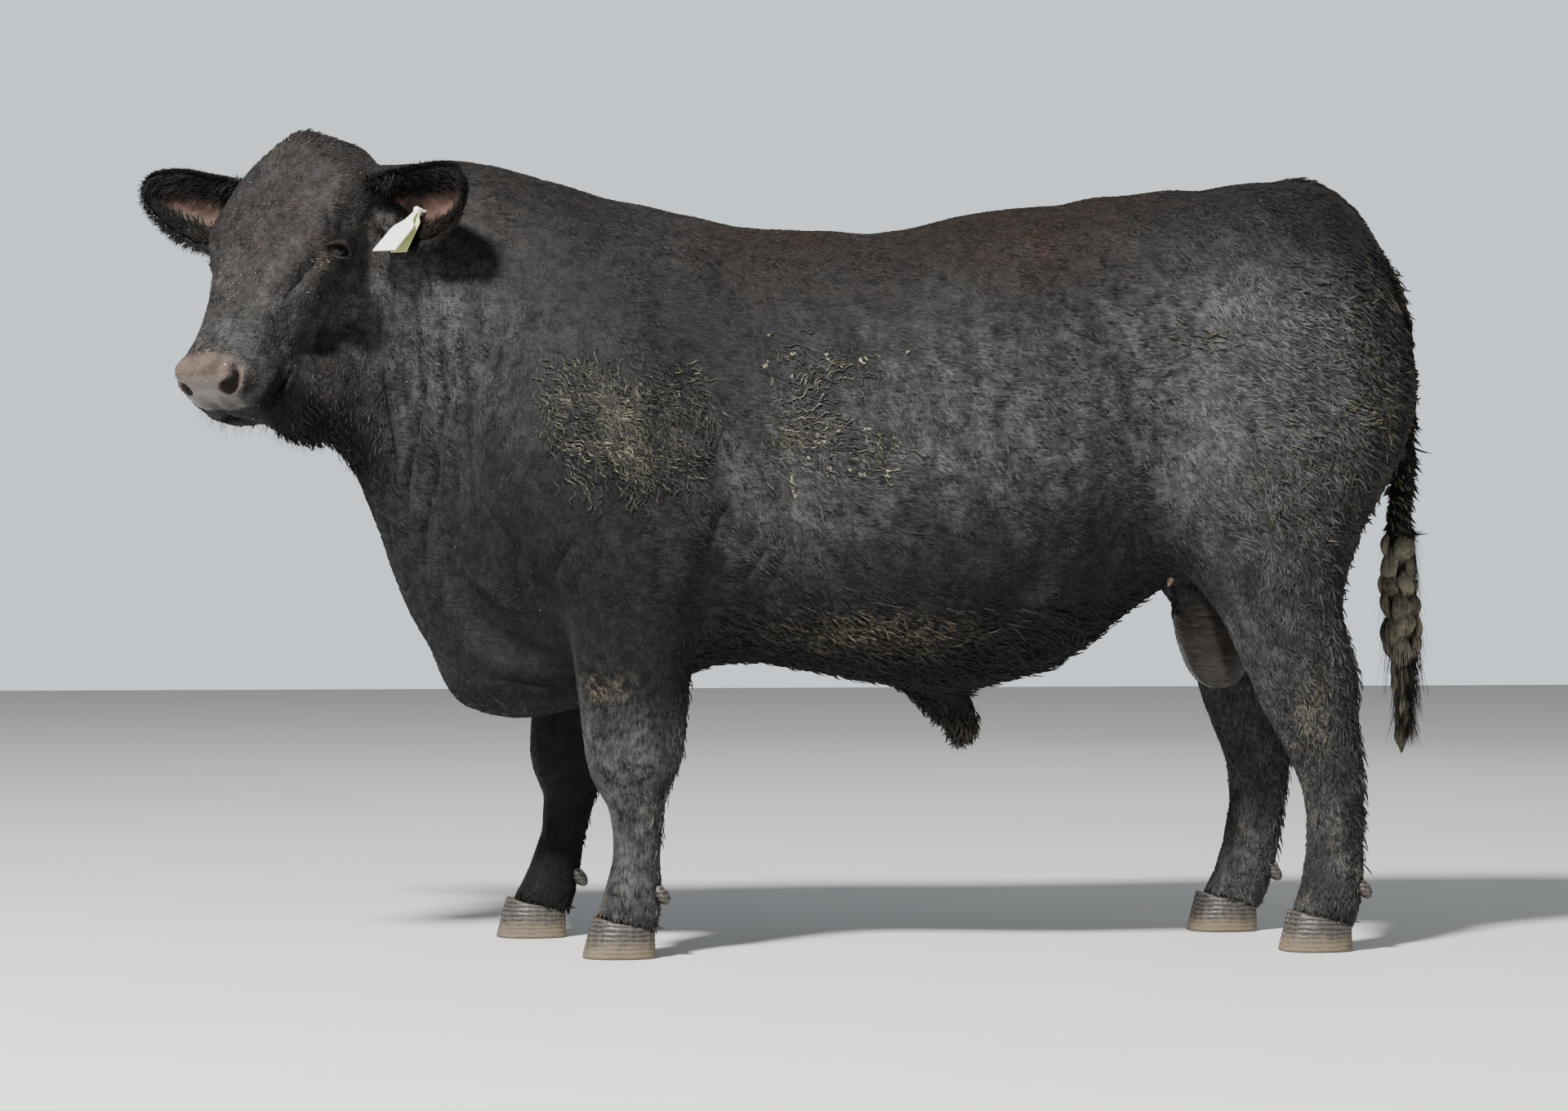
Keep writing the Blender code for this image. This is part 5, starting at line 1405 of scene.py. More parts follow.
@dataclass(frozen=True)
class Locks:
    """Leaf-shaped tufts: each is a roof over the skin, with a ridge along its middle."""

    rows: int = 1
    closed: bool = False
    ridge: float = 0.30
    ragged: float = 0.0
    patch: float = 0.003
    seed: int = 5

    def build(self, root: Array, normal: Array, lie: Array, length: Array, width: Array, lift: Array,
              bend: Array, shade: Array, uv: Array, sink: float = 0.001, wave: float | Array = 0.0,
              rim: float = 0.0) -> Tufts:
        """Works out every tuft at once.

        The middle line runs along the lie for the tuft's length and rises by the lift times s times
        two less s, bending aside with the square of s. The half width is the sine of the way along.

        Args:
            root: where each tuft grows.
            normal: out of the skin there.
            lie: the way the hair lies there.
            length: each tuft's length.
            width: each tuft's full width.
            lift: how far the tip stands out, over the length.
            bend: how far the tip turns aside, over the length.
            shade: each tuft's own tone, 0 to 1.
            uv: each root's place on the unwrap.
            sink: how deep the root lies under the skin.
            wave: how far the tuft swings to both sides, over the length.
            rim: how much paler one edge is than the other: khaki mud and painted light on the pale edge,
                painted shade on the dark edge.

        Returns:
            The finished tufts.
        """
        count = len(root)
        side = unit(np.cross(normal, lie))
        draw = np.random.default_rng(self.seed)
        torn = 1.0 + self.ragged * draw.uniform(-1.0, 1.0, (self.rows + 2, 2, count, 1))
        steps = np.linspace(0.0, 1.0, self.rows + 2)
        swell = np.sin(np.pi * np.clip(steps * 0.86 + 0.12, 0, 1)) ** 0.8
        per = 3 * self.rows + 2
        points = np.empty((count, per, 3))
        flat = np.empty((count, per, 2))
        tone = np.empty((count, per))
        for i, (s, w) in enumerate(zip(steps, swell)):
            rise = lift * length * s * (2.0 - s)
            aside = (bend * s * s + wave * math.sin(2 * math.pi * s)) * length
            line = (root + lie * (length * s)[:, None] + normal * (rise - sink)[:, None]
                    + side * aside[:, None])
            patch = uv + (0.0, self.patch * (s - 0.5))
            if i == 0 or i == self.rows + 1:
                spot = 0 if i == 0 else per - 1
                points[:, spot] = line
                flat[:, spot] = patch
                tone[:, spot] = shade * 0.8 + 0.25 * s
                continue
            half = side * (width * 0.5 * w)[:, None]
            ridge = normal * (width * self.ridge * w + sink * 0.8)[:, None]
            first = 3 * i - 2
            for j, place in enumerate((line - half * torn[i, 0], line + ridge, line + half * torn[i, 1])):
                points[:, first + j] = place
                flat[:, first + j] = patch + (0.5 * self.patch * (j - 1), 0.0)
            # Across the tuft one edge is painted lighter and the other darker, as lit and shaded sides.
            tone[:, first:first + 3] = (shade * 0.8 + 0.25 * s)[:, None] + (-rim, 0.0, rim)
        faces = [(0, 2, 1), (0, 3, 2)]
        for i in range(1, self.rows):
            a, b = 3 * i - 2, 3 * i + 1
            faces += [(a, a + 1, b + 1), (a, b + 1, b), (a + 1, a + 2, b + 2), (a + 1, b + 2, b + 1)]
        last = 3 * self.rows - 2
        faces += [(last, last + 1, per - 1), (last + 1, last + 2, per - 1)]
        if self.closed:
            faces += [(0, 1, 3)]
            for i in range(1, self.rows):
                a, b = 3 * i - 2, 3 * i + 1
                faces += [(a, b, b + 2), (a, b + 2, a + 2)]
            faces += [(last, per - 1, last + 2)]
        faces = np.array(faces)[:, ::-1]
        base = (np.arange(count) * per)[:, None, None]
        triangles = (faces[None] + base).reshape(-1, 3)
        tone = np.clip(tone, 0, 1).ravel()
        return Tufts(points.reshape(-1, 3), triangles, tone, flat.reshape(-1, 2), per)


class Spots:
    """Places strewn over the hide, each with what the hide has there."""

    def __init__(self, hide: Hide, dense: Array, count: int, draw: np.random.Generator) -> None:
        """Picks triangles by area times density, and a place inside each.

        Args:
            hide: the finished hide.
            dense: how thick the spots lie at each of its points.
            count: how many spots to pick.
            draw: where the random numbers come from.
        """
        _, area = face_turns(hide.points, hide.faces)
        total = np.cumsum(area * dense[hide.faces].mean(1))
        spots = (np.arange(count) + draw.uniform(0, 1, count)) / count * total[-1]
        self.corners = hide.faces[np.minimum(np.searchsorted(total, spots), len(total) - 1)]
        a, b = np.sqrt(draw.uniform(0, 1, count)), draw.uniform(0, 1, count)
        self.share = np.stack([1 - a, a * (1 - b), a * b], axis=1)
        self.root = self.blend(hide.points)
        self.normal = unit(self.blend(hide.normals))
        zone = hide.anatomy.regions(self.root)
        self.lie = hide.anatomy.lie(self.root, self.normal, zone)
        self.uv = hide.anatomy.unwrap(self.root, zone)
        self.marks = {key: self.blend(value) for key, value in hide.marks.items()}

    def blend(self, values: Array) -> Array:
        """A value at each spot, mixed from its triangle's corners by their shares."""
        share = self.share if values.ndim == 1 else self.share[..., None]
        return (values[self.corners] * share).sum(1)

    def comb(self, turn: Array) -> None:
        """Turns the lie of each spot on the hide by an angle."""
        self.lie = turned(self.lie, self.normal, turn)

    def pieces(self, names: tuple, edges: tuple, locks: Locks, finish: bpy.types.Material, slot: str,
               *sizes: Array) -> None:
        """Grows a tuft on every spot and joins them in one piece for each stretch from front to back.

        Args:
            names: the pieces' names.
            edges: where the stretches begin and end along X.
            locks: the kind of tuft.
            finish: their material.
            slot: not used.
            sizes: each tuft's length, width, lift, bend and tone.
        """
        for name, low, high in zip(names, edges[:-1], edges[1:]):
            pick = (self.root[:, 0] >= low) & (self.root[:, 0] < high)
            given = (self.root, self.normal, self.lie, *sizes, self.uv)
            made = locks.build(*(values[pick] for values in given))
            made.piece(name, finish, slot, **{key: self.marks[key][pick] for key in MARKS})


@dataclass
class Coat:
    """The short coat: tufts strewn over the hide, longer and rougher behind and below."""

    hide: Hide
    seed: int = 71
    count: int = 204000
    names: tuple = ("coat_face", "coat_poll_and_nape", "coat_neck", "coat_shoulder", "coat_ribs",
                    "coat_loin", "coat_flank", "coat_thigh", "coat_rump")
    edges: tuple = (-9.0, -0.86, -0.60, -0.36, -0.10, 0.16, 0.44, 0.72, 0.90, 9.0)

    def weights(self) -> tuple[Array, Array, Array, Array]:
        """How dense, long, wide and raised the coat is at each point of the hide."""
        hide = self.hide
        zone, points = hide.zone, hide.points
        rough, head, leg = hide.marks["rough"], zone["head"], zone["leg"]
        local = hide.anatomy.head.local(points)
        muzzle = head * ease(local[:, 0], 0.36, 0.48)
        poll = mound(local, (0.0, 0.0, -0.02), (0.05, 0.07, 0.06))
        length = 0.017 + 0.009 * rough - 0.003 * ease(-points[:, 0], 0.3, 0.6)
        length = length * (1 - head) + head * (0.0105 - 0.003 * muzzle + 0.010 * poll)
        low = 1 - 0.4 * leg * ease(-points[:, 2], -0.40, -0.15)
        length = length * (1 - 0.42 * leg * (1 - 0.5 * rough)) * low
        width = 0.0031 + 0.0006 * rough
        width = width * (1 - head) + head * 0.0021
        width = width * (1 - 0.35 * leg)
        lift = 0.06 + 0.08 * rough + 0.05 * poll + 0.02 * head
        dense = 1.0 + 1.6 * head + 1.0 * leg + 0.2 * rough
        lips = 0.85 * ease(zone["lips"], 0.6, 0.9)
        bald = np.maximum.reduce([zone["pad"], zone["purse"], zone["lids"], lips])
        return dense * (1 - ease(bald, 0.2, 0.6)), length, width, lift

    def build(self, finishes: Finishes) -> None:
        """Makes the short coat in nine pieces from front to back."""
        draw = np.random.default_rng(self.seed)
        dense, length, width, lift = self.weights()
        count = self.count // 1
        spots = Spots(self.hide, dense, count, draw)
        rough = spots.marks["rough"]
        spots.comb(draw.normal(0, 0.19, count) * (1 + 0.9 * rough))
        length = spots.blend(length) * draw.uniform(0.7, 1.35, count)
        width = spots.blend(width) * draw.uniform(0.75, 1.3, count)
        lift = spots.blend(lift) * draw.uniform(0.4, 1.6, count)
        bend = draw.normal(0, 0.10, count) * (1 + rough)
        shade = draw.beta(1.1, 1.8, count)
        spots.pieces(self.names, self.edges, Locks(), finishes.coat, "coat",
                     length, width, lift, bend, shade)


@dataclass
class LongHair:
    """Longer locks where the coat breaks the outline: belly, thighs, hocks, poll, jaw and coronets."""

    hide: Hide
    count: int = 14500
    seed: int = 83
    names: tuple = ("fringe_front", "fringe_rear")
    edges: tuple = (-9.0, 0.40, 9.0)

    def weights(self) -> tuple[Array, Array, Array]:
        """How dense, long and raised the long locks are at each point of the hide."""
        hide = self.hide
        zone, points, normals = hide.zone, hide.points, hide.normals
        x, _, z = points.T
        local = hide.anatomy.head.local(points)
        trunk = (1 - zone["head"]) * (1 - zone["leg"]) * (1 - zone["tail"])
        belly = trunk * ease(-normals[:, 2], 0.25, 0.8) * ease(x, -0.30, -0.10) * ease(-z, -0.66, -0.58)
        rump = trunk * ease(x, 0.93, 1.05) * ease(z, 0.60, 0.72) * ease(-z, -1.30, -1.20)
        thigh = zone["hind"] * ease(normals[:, 0], 0.15, 0.8) * ease(z, 0.12, 0.25)
        knee = zone["fore"] * ease(normals[:, 0], 0.3, 0.9) * ease(z, 0.14, 0.25) * 0.6
        elbow = mound(folded(points), (-0.20, 0.30, 0.66), (0.05, 0.06, 0.07)) * 0.7
        poll = 1.6 * mound(local, (-0.005, 0.0, -0.025), (0.035, 0.055, 0.04))
        jaw = zone["head"] * ease(-local[:, 2], 0.16, 0.24) * ease(local[:, 0], 0.36, 0.46) * 1.6
        coronet = ease(-z, -0.105, -0.080) * 3.0 * ease(z, 0.050, 0.060)
        sheath = zone["sheath"] * ease(-z, -0.440, -0.400) * 7.0
        tail = zone["tail"] * ease(-z, -1.05, -0.95) * 5.0
        dense = belly + rump + thigh + knee + elbow + poll + jaw + coronet + sheath + tail
        length = (0.030 * belly + 0.027 * rump + 0.027 * thigh + 0.020 * knee + 0.014 * elbow
                  + 0.014 * poll + 0.015 * jaw + 0.017 * coronet + 0.022 * sheath + 0.036 * tail)
        lift = (0.20 * belly + 0.26 * rump + 0.24 * thigh + 0.2 * knee + 0.05 * elbow + 0.26 * poll
                + 0.35 * jaw + 0.06 * coronet + 0.42 * sheath + 0.05 * tail)
        share = np.maximum(dense, 0.05)
        bald = np.maximum(zone["pad"], zone["purse"])
        return dense * (1 - ease(bald, 0.2, 0.6)), length / share, lift / share

    def build(self, finishes: Finishes) -> None:
        """Strews the long locks and joins them in two pieces, front and rear."""
        draw = np.random.default_rng(self.seed)
        dense, length, lift = self.weights()
        count = self.count // 1
        spots = Spots(self.hide, dense, count, draw)
        spots.comb(draw.normal(0, 0.28, count))
        length = spots.blend(length) * draw.uniform(0.55, 1.5, count)
        lift = spots.blend(lift) * draw.uniform(0.3, 1.6, count)
        width = 0.0024 + 0.05 * length * draw.uniform(0.4, 1.3, count)
        bend = draw.normal(0, 0.22, count)
        shade = draw.beta(1.8, 2.2, count)
        spots.pieces(self.names, self.edges, Locks(3, True), finishes.coat, "long hair",
                     length, width, lift, bend, shade)


@dataclass(frozen=True)
class Crust:
    """One kind of dried mud: how many pieces, the spans of their sizes, and how they lie."""

    name: str
    count: int
    length: tuple
    width: tuple
    lift: tuple
    wave: float
    turn: float
    shade: float
    locks: Locks
    caked: bool = False


@dataclass
class Mud:
    """Dried dung on the coat: wavy khaki flakes in front, broad plates, olive locks behind, tail scales."""

    hide: Hide
    kinds: tuple = (
        Crust("flakes", 1350, (0.022, 0.044), (0.0026, 0.0052), (0.01, 0.07), 0.17, 0.10, 0.40,
              Locks(5, True)),
        Crust("plates", 105, (0.010, 0.022), (0.0065, 0.0125), (0.00, 0.02), 0.10, 0.60, 0.78,
              Locks(5, True, 0.05, 0.75)),
        Crust("locks", 4600, (0.016, 0.034), (0.0026, 0.0052), (0.03, 0.18), 0.10, 0.22, 0.60,
              Locks(3, True), True),
        Crust("tail", 620, (0.018, 0.034), (0.0050, 0.0100), (0.03, 0.10), 0.05, 0.30, 0.80,
              Locks(3, True), True),
        Crust("specks", 230, (0.0020, 0.0055), (0.0010, 0.0020), (0.02, 0.20), 0.05, 0.90, 1.10,
              Locks(3, True)),
    )
    tears: Hump = Hump(9.0, (0.256, 0.127, -0.060), (0.010, 0.012, 0.009))
    crumbs: tuple = (
        Hump(1.2, (0.005, -0.020, -0.010), (0.025, 0.030, 0.03)),
        Hump(0.9, (0.330, -0.010, 0.0), (0.060, 0.040, 0.03)),
    )
    nose: Hump = Hump(2.0, (0.492, 0.030, -0.006), (0.012, 0.045, 0.008))
    stand: float = 0.0018
    # How much paler one edge of each mud lock is: khaki mud and painted light on it, painted shade on the
    # other edge.
    rim: float = 0.55
    seed: int = 97

    def masks(self) -> dict[str, Array]:
        """How dense each kind lies at every point of the hide."""
        hide = self.hide
        points = hide.points
        x, y, z = points.T
        mud, tail = hide.marks["mud"], hide.zone["tail"]
        torn = ease(Ripple(36, 0.045).at(points), -0.1, 0.6)
        gaps = 1.0 - ease(x, -0.16, -0.10) * (0.85 - 0.85 * torn)
        local = hide.anatomy.head.local(points)
        mirrored = folded(local)
        specks = self.tears.at(mirrored)
        for spot in self.crumbs:
            specks += spot.at(local)
        specks += self.nose.at(mirrored)
        specks = (specks + 0.05) * hide.zone["head"] * (1 - hide.zone["pad"]) + 0.003 * (x < 0.3)
        return {"specks": specks * ease(0.5 + 0.5 * Ripple(35, 0.05).at(points), 0.25, 0.8),
                "flakes": ease(mud * (x < 0.45) * gaps, 0.10, 1.00),
                "plates": humps(folded(points, -1.0), PLATES) * ease(-y, 0.0, 0.1),
                "locks": ease(mud * (x > 0.45), 0.12, 0.85) * (1 - tail),
                "tail": tail * ease(-z, -1.32, -1.20)}

    def build(self, finishes: Finishes) -> None:
        """Strews each kind where its mask is high and joins each in a piece of its own."""
        draw = np.random.default_rng(self.seed)
        masks = self.masks()
        for kind in self.kinds:
            count = kind.count
            spots = Spots(self.hide, masks[kind.name], count, draw)
            root = spots.root
            spots.comb(0.85 * Ripple(33, 0.16, 9).at(root) + draw.normal(0, kind.turn, count))
            shade = np.clip(draw.beta(2.0, 1.4, count) * kind.shade, 0, 1)
            side = np.sign(Ripple(34, 0.060).at(root) + 0.25 * draw.normal(size=count))
            spans = (kind.length, kind.width, kind.lift)
            length, width, lift = (draw.uniform(*span, count) for span in spans)
            bend = 0.16 * side + draw.normal(0, 0.10, count)
            root = root + spots.normal * self.stand
            made = kind.locks.build(root, spots.normal, spots.lie, length, width, lift, bend, shade,
                                    spots.uv, wave=kind.wave * side, rim=self.rim)
            made.piece("mud_" + kind.name, finishes.cake if kind.caked else finishes.flake)


# The head's own pieces.
@dataclass
class Eye:
    """One eyeball, its lids and its lashes."""

    side: float
    name: str
    head: HeadFrame
    hide: Hide
    slit: tuple = (0.0228, 0.0124)
    power: float = 1.75
    ball_grid: tuple = (49, 64)
    lid_grid: tuple = (34, 96)
    hairs: int = 90
    seed: int = 41

    def ball(self, finishes: Finishes) -> None:
        """The eyeball: a sphere whose clear front swells, with a long level pupil.

        The radius grows by a twentieth times exp of minus the squared angle off the front.
        """
        out, slit, over = self.head.eye_axes(self.side)
        rows, around = self.ball_grid
        theta, phi = polar(np.linspace(0.002, math.pi - 0.002, rows), around)
        radius = self.head.eye_radius * (0.985 + 0.05 * np.exp(-(theta / 0.55) ** 2))
        u, v = np.sin(theta) * np.cos(phi), np.sin(theta) * np.sin(phi)
        points = (self.head.eye_middle(self.side) + (radius * np.cos(theta))[..., None] * out
                  + (radius * u)[..., None] * slit + (radius * v)[..., None] * over)
        faces = grid_faces(rows, around, closed=True)
        if np.dot(np.cross(slit, over), out) < 0:
            faces = faces[:, ::-1]
        piece = mesh_object("eyeball_" + self.name, points.reshape(-1, 3), faces, finishes.eye)
        front = np.cos(theta) > 0
        pupil = ease(-((u / 0.44) ** 2 + (v / 0.20) ** 2), -1.25, -0.85) * front
        white = np.maximum(ease(np.sin(theta), 0.66, 0.72), ~front * 1.0)
        set_values(piece, pupil=pupil.ravel(), white=white.ravel())
        finish_piece(piece, "eye", "eye_" + self.name)

    def level(self, u: Array, v: Array) -> Array:
        """How far out the hide stands over points of the eye's plane, from the hide's own corners."""
        out, slit, over = self.head.eye_axes(self.side)
        away = self.hide.points - self.head.eye_middle(self.side)
        near = (np.linalg.norm(away, axis=1) < 0.05) & (self.hide.normals @ out > 0.1)
        own = away[near] @ np.stack([slit, over, out], axis=1)
        gap = (u.ravel()[:, None] - own[:, 0]) ** 2 + (v.ravel()[:, None] - own[:, 1]) ** 2
        weight = np.exp(-gap / (2 * 0.0026 ** 2)) + 1e-12
        return ((weight * own[:, 2]).sum(1) / weight.sum(1)).reshape(u.shape)

    def rim(self, phi: Array, grow: Array) -> tuple[Array, Array]:
        """The almond outline, grown outwards: a rounded diamond of the given power."""
        c, s = np.cos(phi), np.sin(phi)
        a, b = self.slit
        bend = 2.0 / self.power
        u = a * np.sign(c) * np.abs(c) ** bend
        v = b * np.sign(s) * np.abs(s) ** bend
        away = np.stack([c / a, s / b], axis=-1)
        away = away / np.linalg.norm(away, axis=-1, keepdims=True)
        return u + away[..., 0] * grow, v + away[..., 1] * grow

    def lids(self, finishes: Finishes) -> None:
        """Both lids as one band: in from the eyeball, over a thick edge, and down into the hide."""
        out, slit, over = self.head.eye_axes(self.side)
        middle = self.head.eye_middle(self.side)
        rows, around = self.lid_grid
        t, phi = polar(np.linspace(0, 1, rows), around)
        upper = ease(np.sin(phi) * np.sign(over[2]), -0.1, 0.6)
        lower = 1.0 - upper
        grow = np.interp(t, (0, 0.08, 0.2, 0.32, 0.5, 0.75, 1.0),
                         (-0.0016, 0.0, 0.0014, 0.0034, 0.0075, 0.0135, 0.0195))
        grow = grow - 0.0032 * upper * (1 - t)
        u, v = self.rim(phi, grow)
        radius = self.head.eye_radius
        stand = np.interp(t, (0, 0.08, 0.2, 0.32, 1.0), (-0.0008, 0.0010, 0.0032, 0.0036, 0.0026))
        stand = stand + 0.0052 * upper * np.exp(-((t - 0.28) / 0.13) ** 2)
        stand = stand - 0.0016 * lower * ease(t, 0.15, 0.5)
        shell = np.sqrt(np.maximum((radius + stand) ** 2 - u ** 2 - v ** 2, (radius * 0.40) ** 2))
        merge = ease(t, 0.28, 0.72)
        height = shell * (1 - merge) + (self.level(u, v) - 0.0026 * ease(t, 0.86, 1.0)) * merge
        height = height + 0.0010 * ease(t, 0.4, 0.6) * ease(-t, -0.9, -0.7)
        wobble = 0.012 * np.sin(5 * phi)
        for where, width, depth, part in ((0.47, 0.035, 0.0026, upper), (0.66, 0.035, 0.0012, upper),
                                          (0.40, 0.028, 0.0016, lower), (0.56, 0.028, 0.0014, lower),
                                          (0.72, 0.030, 0.0010, lower)):
            height = height - depth * part * np.exp(-((t + wobble - where) / width) ** 2)
        red = 0.9 * upper * np.exp(-((t - 0.22) / 0.08) ** 2)
        grey = lower * (np.exp(-((t - 0.26) / 0.07) ** 2) + 0.6 * np.exp(-((t - 0.48) / 0.04) ** 2))
        points = middle + u[..., None] * slit + v[..., None] * over + height[..., None] * out
        faces = grid_faces(rows, around, closed=True)
        flat = points.reshape(-1, 3)
        if (point_turns(flat, halved(faces))[around * 16:around * 20] @ out).mean() < 0:
            faces = faces[:, ::-1]
        piece = mesh_object("lids_" + self.name, flat, faces, finishes.lid)
        set_values(piece, red=red.ravel(), grey=grey.ravel(), fur=ease(t, 0.45, 0.8).ravel())
        finish_piece(piece, "bare skin")

    def lashes(self, finishes: Finishes) -> None:
        """Lashes along the upper lid, bent out and down, and a few short ones below."""
        out, slit, over = self.head.eye_axes(self.side)
        up = over * np.sign(over[2])
        draw = np.random.default_rng(self.seed)
        count = self.hairs
        share = draw.uniform(0.06, 0.94, count)
        below = draw.uniform(0, 1, count) < 0.22
        phi = share * math.pi * np.where(below, -1.0, 1.0) * np.sign(over[2])
        u, v = self.rim(phi, np.full(count, 0.0012))
        radius = self.head.eye_radius + 0.0052
        height = np.sqrt(np.maximum(radius ** 2 - u ** 2 - v ** 2, 1e-5))
        root = self.head.eye_middle(self.side) + u[:, None] * slit + v[:, None] * over
        root = root + height[:, None] * out
        lie = out * 0.9 + slit * (u / self.slit[0] * 0.5)[:, None]
        lie = lie - np.where(below, 0.5, 0.35)[:, None] * up
        lie = unit(lie + draw.normal(0, 0.08, (count, 3)))
        normal = unit(np.cross(np.cross(lie, up), lie))
        length = np.where(below, 0.006, 0.013) * draw.uniform(0.8, 1.25, count)
        made = Locks(3, True).build(root, normal, lie, length, np.full(count, 0.0007),
                                    np.full(count, -0.12), draw.normal(0, 0.1, count),
                                    draw.uniform(0.1, 0.5, count),
                                    self.hide.anatomy.unwrap(root, self.hide.anatomy.regions(root)))
        made.piece("lashes_" + self.name, finishes.coat, **plain_marks(count))

    def build(self, finishes: Finishes) -> None:
        """Makes the eyeball, the lids and the lashes."""
        self.ball(finishes)
        self.lids(finishes)
        self.lashes(finishes)


@dataclass
class EarHair:
    """The hair of one ear: a short coat on its back, fringes on both edges, tufts in its cup."""

    ear: Ear
    name: str
    backs: int = 5200
    fringe: int = 1500
    inner: int = 2600
    roll: int = 1200
    seed: int = 57

    def ground(self, s: Array, t: Array, depth: Array) -> tuple[Array, Array, Array]:
        """Places on the ear with the normal out of its back and the way to its tip."""
        step = 1e-3
        here = self.ear.leaf(s, t, depth)
        along = self.ear.leaf(s + step, t, depth) - here
        across = self.ear.leaf(s, t + step, depth) - here
        normal = unit(np.cross(along, across))
        opens = self.ear.axes()[1]
        normal = normal * np.sign(-(normal @ opens))[:, None]
        return here, normal, unit(along)

    def flat(self, s: Array, t: Array) -> Array:
        """The place on the unwrap of points on the ear."""
        corner = 0.93 if self.ear.side > 0 else 0.96
        return np.stack([corner - 0.03 * (t + 1) / 2, 0.75 + 0.22 * s], axis=1)

    def back_hair(self, draw: np.random.Generator) -> tuple[Array, ...]:
        """The short coat on the ear's back, as arrays for the tufts."""
        count = self.backs
        s, t = draw.uniform(0.03, 0.97, count), draw.uniform(-0.98, 0.98, count)
        root, normal, tip = self.ground(s, t, np.zeros(count))
        lie = turned(tip, normal, draw.normal(0, 0.2, count))
        return (root, normal, lie, draw.uniform(0.009, 0.015, count), np.full(count, 0.0022),
                draw.uniform(0.04, 0.18, count), draw.normal(0, 0.1, count), draw.beta(1.6, 2.2, count),
                self.flat(s, t))

    def edge_hair(self, draw: np.random.Generator) -> tuple[Array, ...]:
        """The fringes of both edges, longer below, as arrays for the tufts."""
        count = self.fringe
        edge = np.where(draw.uniform(0, 1, count) < 0.62, -1.0, 1.0)
        s = draw.uniform(0.06, 0.99, count) ** 0.9
        root, normal, tip = self.ground(s, edge * draw.uniform(0.93, 1.0, count), np.full(count, 0.002))
        outward = unit(root - self.ground(s, edge * 0.7, np.full(count, 0.002))[0])
        lie = tip * draw.uniform(0.5, 1.1, count)[:, None]
        lie = lie + outward * draw.uniform(0.35, 0.9, count)[:, None]
        lie = unit(lie + draw.normal(0, 0.12, (count, 3)) - UP * 0.22)
        length = draw.uniform(0.014, 0.030, count) * np.where(edge < 0, 1.15, 0.70) * (1 - 0.35 * s)
        return (root, normal, lie, length, np.full(count, 0.0013), draw.uniform(-0.1, 0.25, count),
                draw.normal(0, 0.25, count), draw.beta(2, 2, count), self.flat(s, -edge))

    def cup_hair(self, draw: np.random.Generator) -> tuple[Array, ...]:
        """The tufts inside the cup, most of them in its upper half, as arrays for the tufts."""
        count = self.inner
        upper = draw.uniform(0, 1, count) < 0.72
        t = np.where(upper, draw.uniform(0.30, 0.98, count), -1.0 + 0.5 * draw.uniform(0, 1, count) ** 1.6)
        s = draw.uniform(0.04, 0.97, count)
        root, normal, tip = self.ground(s, t * 0.98, np.full(count, self.ear.thickness * 0.8))
        across = self.ground(s, t * 0.90, np.full(count, self.ear.thickness * 0.8))[0]
        lie = unit(tip * 0.9 + unit(across - root) * draw.uniform(0.1, 0.8, count)[:, None]
                   + draw.normal(0, 0.15, (count, 3)))
        return (root, -normal, lie, draw.uniform(0.018, 0.036, count), np.full(count, 0.0019),
                draw.uniform(0.10, 0.42, count), draw.normal(0, 0.2, count), draw.beta(1.6, 3, count),
                self.flat(s, t))

    def roll_hair(self, draw: np.random.Generator) -> tuple[Array, ...]:
        """The tufts that hang from the rolled root, as arrays for the tufts."""
        count = self.roll
        s = 0.36 * draw.uniform(0, 1, count) ** 1.2
        high = draw.uniform(0, 1, count) < 0.6
        t = np.where(high, draw.uniform(0.30, 1.0, count), draw.uniform(-1.0, -0.4, count))
        root, normal, tip = self.ground(s, t, np.full(count, 0.002))
        lie = tip * 0.5 - UP * draw.uniform(0.3, 0.9, count)[:, None] + self.ear.axes()[1] * 0.35
        lie = unit(lie + draw.normal(0, 0.22, (count, 3)))
        return (root, -normal, lie, draw.uniform(0.024, 0.044, count), np.full(count, 0.0021),
                draw.uniform(0.0, 0.3, count), draw.normal(0, 0.2, count), draw.beta(1.3, 3, count),
                self.flat(s, t))

    def build(self, finishes: Finishes) -> None:
        """Makes the ear's hair as two pieces, short and long."""
        draw = np.random.default_rng(self.seed)
        made = Locks().build(*self.back_hair(draw), 0.0)
        # The ear's back gets a little painted sheen.
        made.piece("ear_coat_" + self.name, finishes.coat,
                   **plain_marks(self.backs, tan=0.05, brown=0.3, bloom=0.3))
        parts = [self.edge_hair(draw), self.cup_hair(draw), self.roll_hair(draw)]
        made = Locks(3, True).build(*(np.concatenate(pair) for pair in zip(*parts)), 0.0)
        total = self.fringe + self.inner + self.roll
        made.piece("ear_fringe_" + self.name, finishes.coat, "long hair",
                   **plain_marks(total, tan=0.06, brown=0.35))


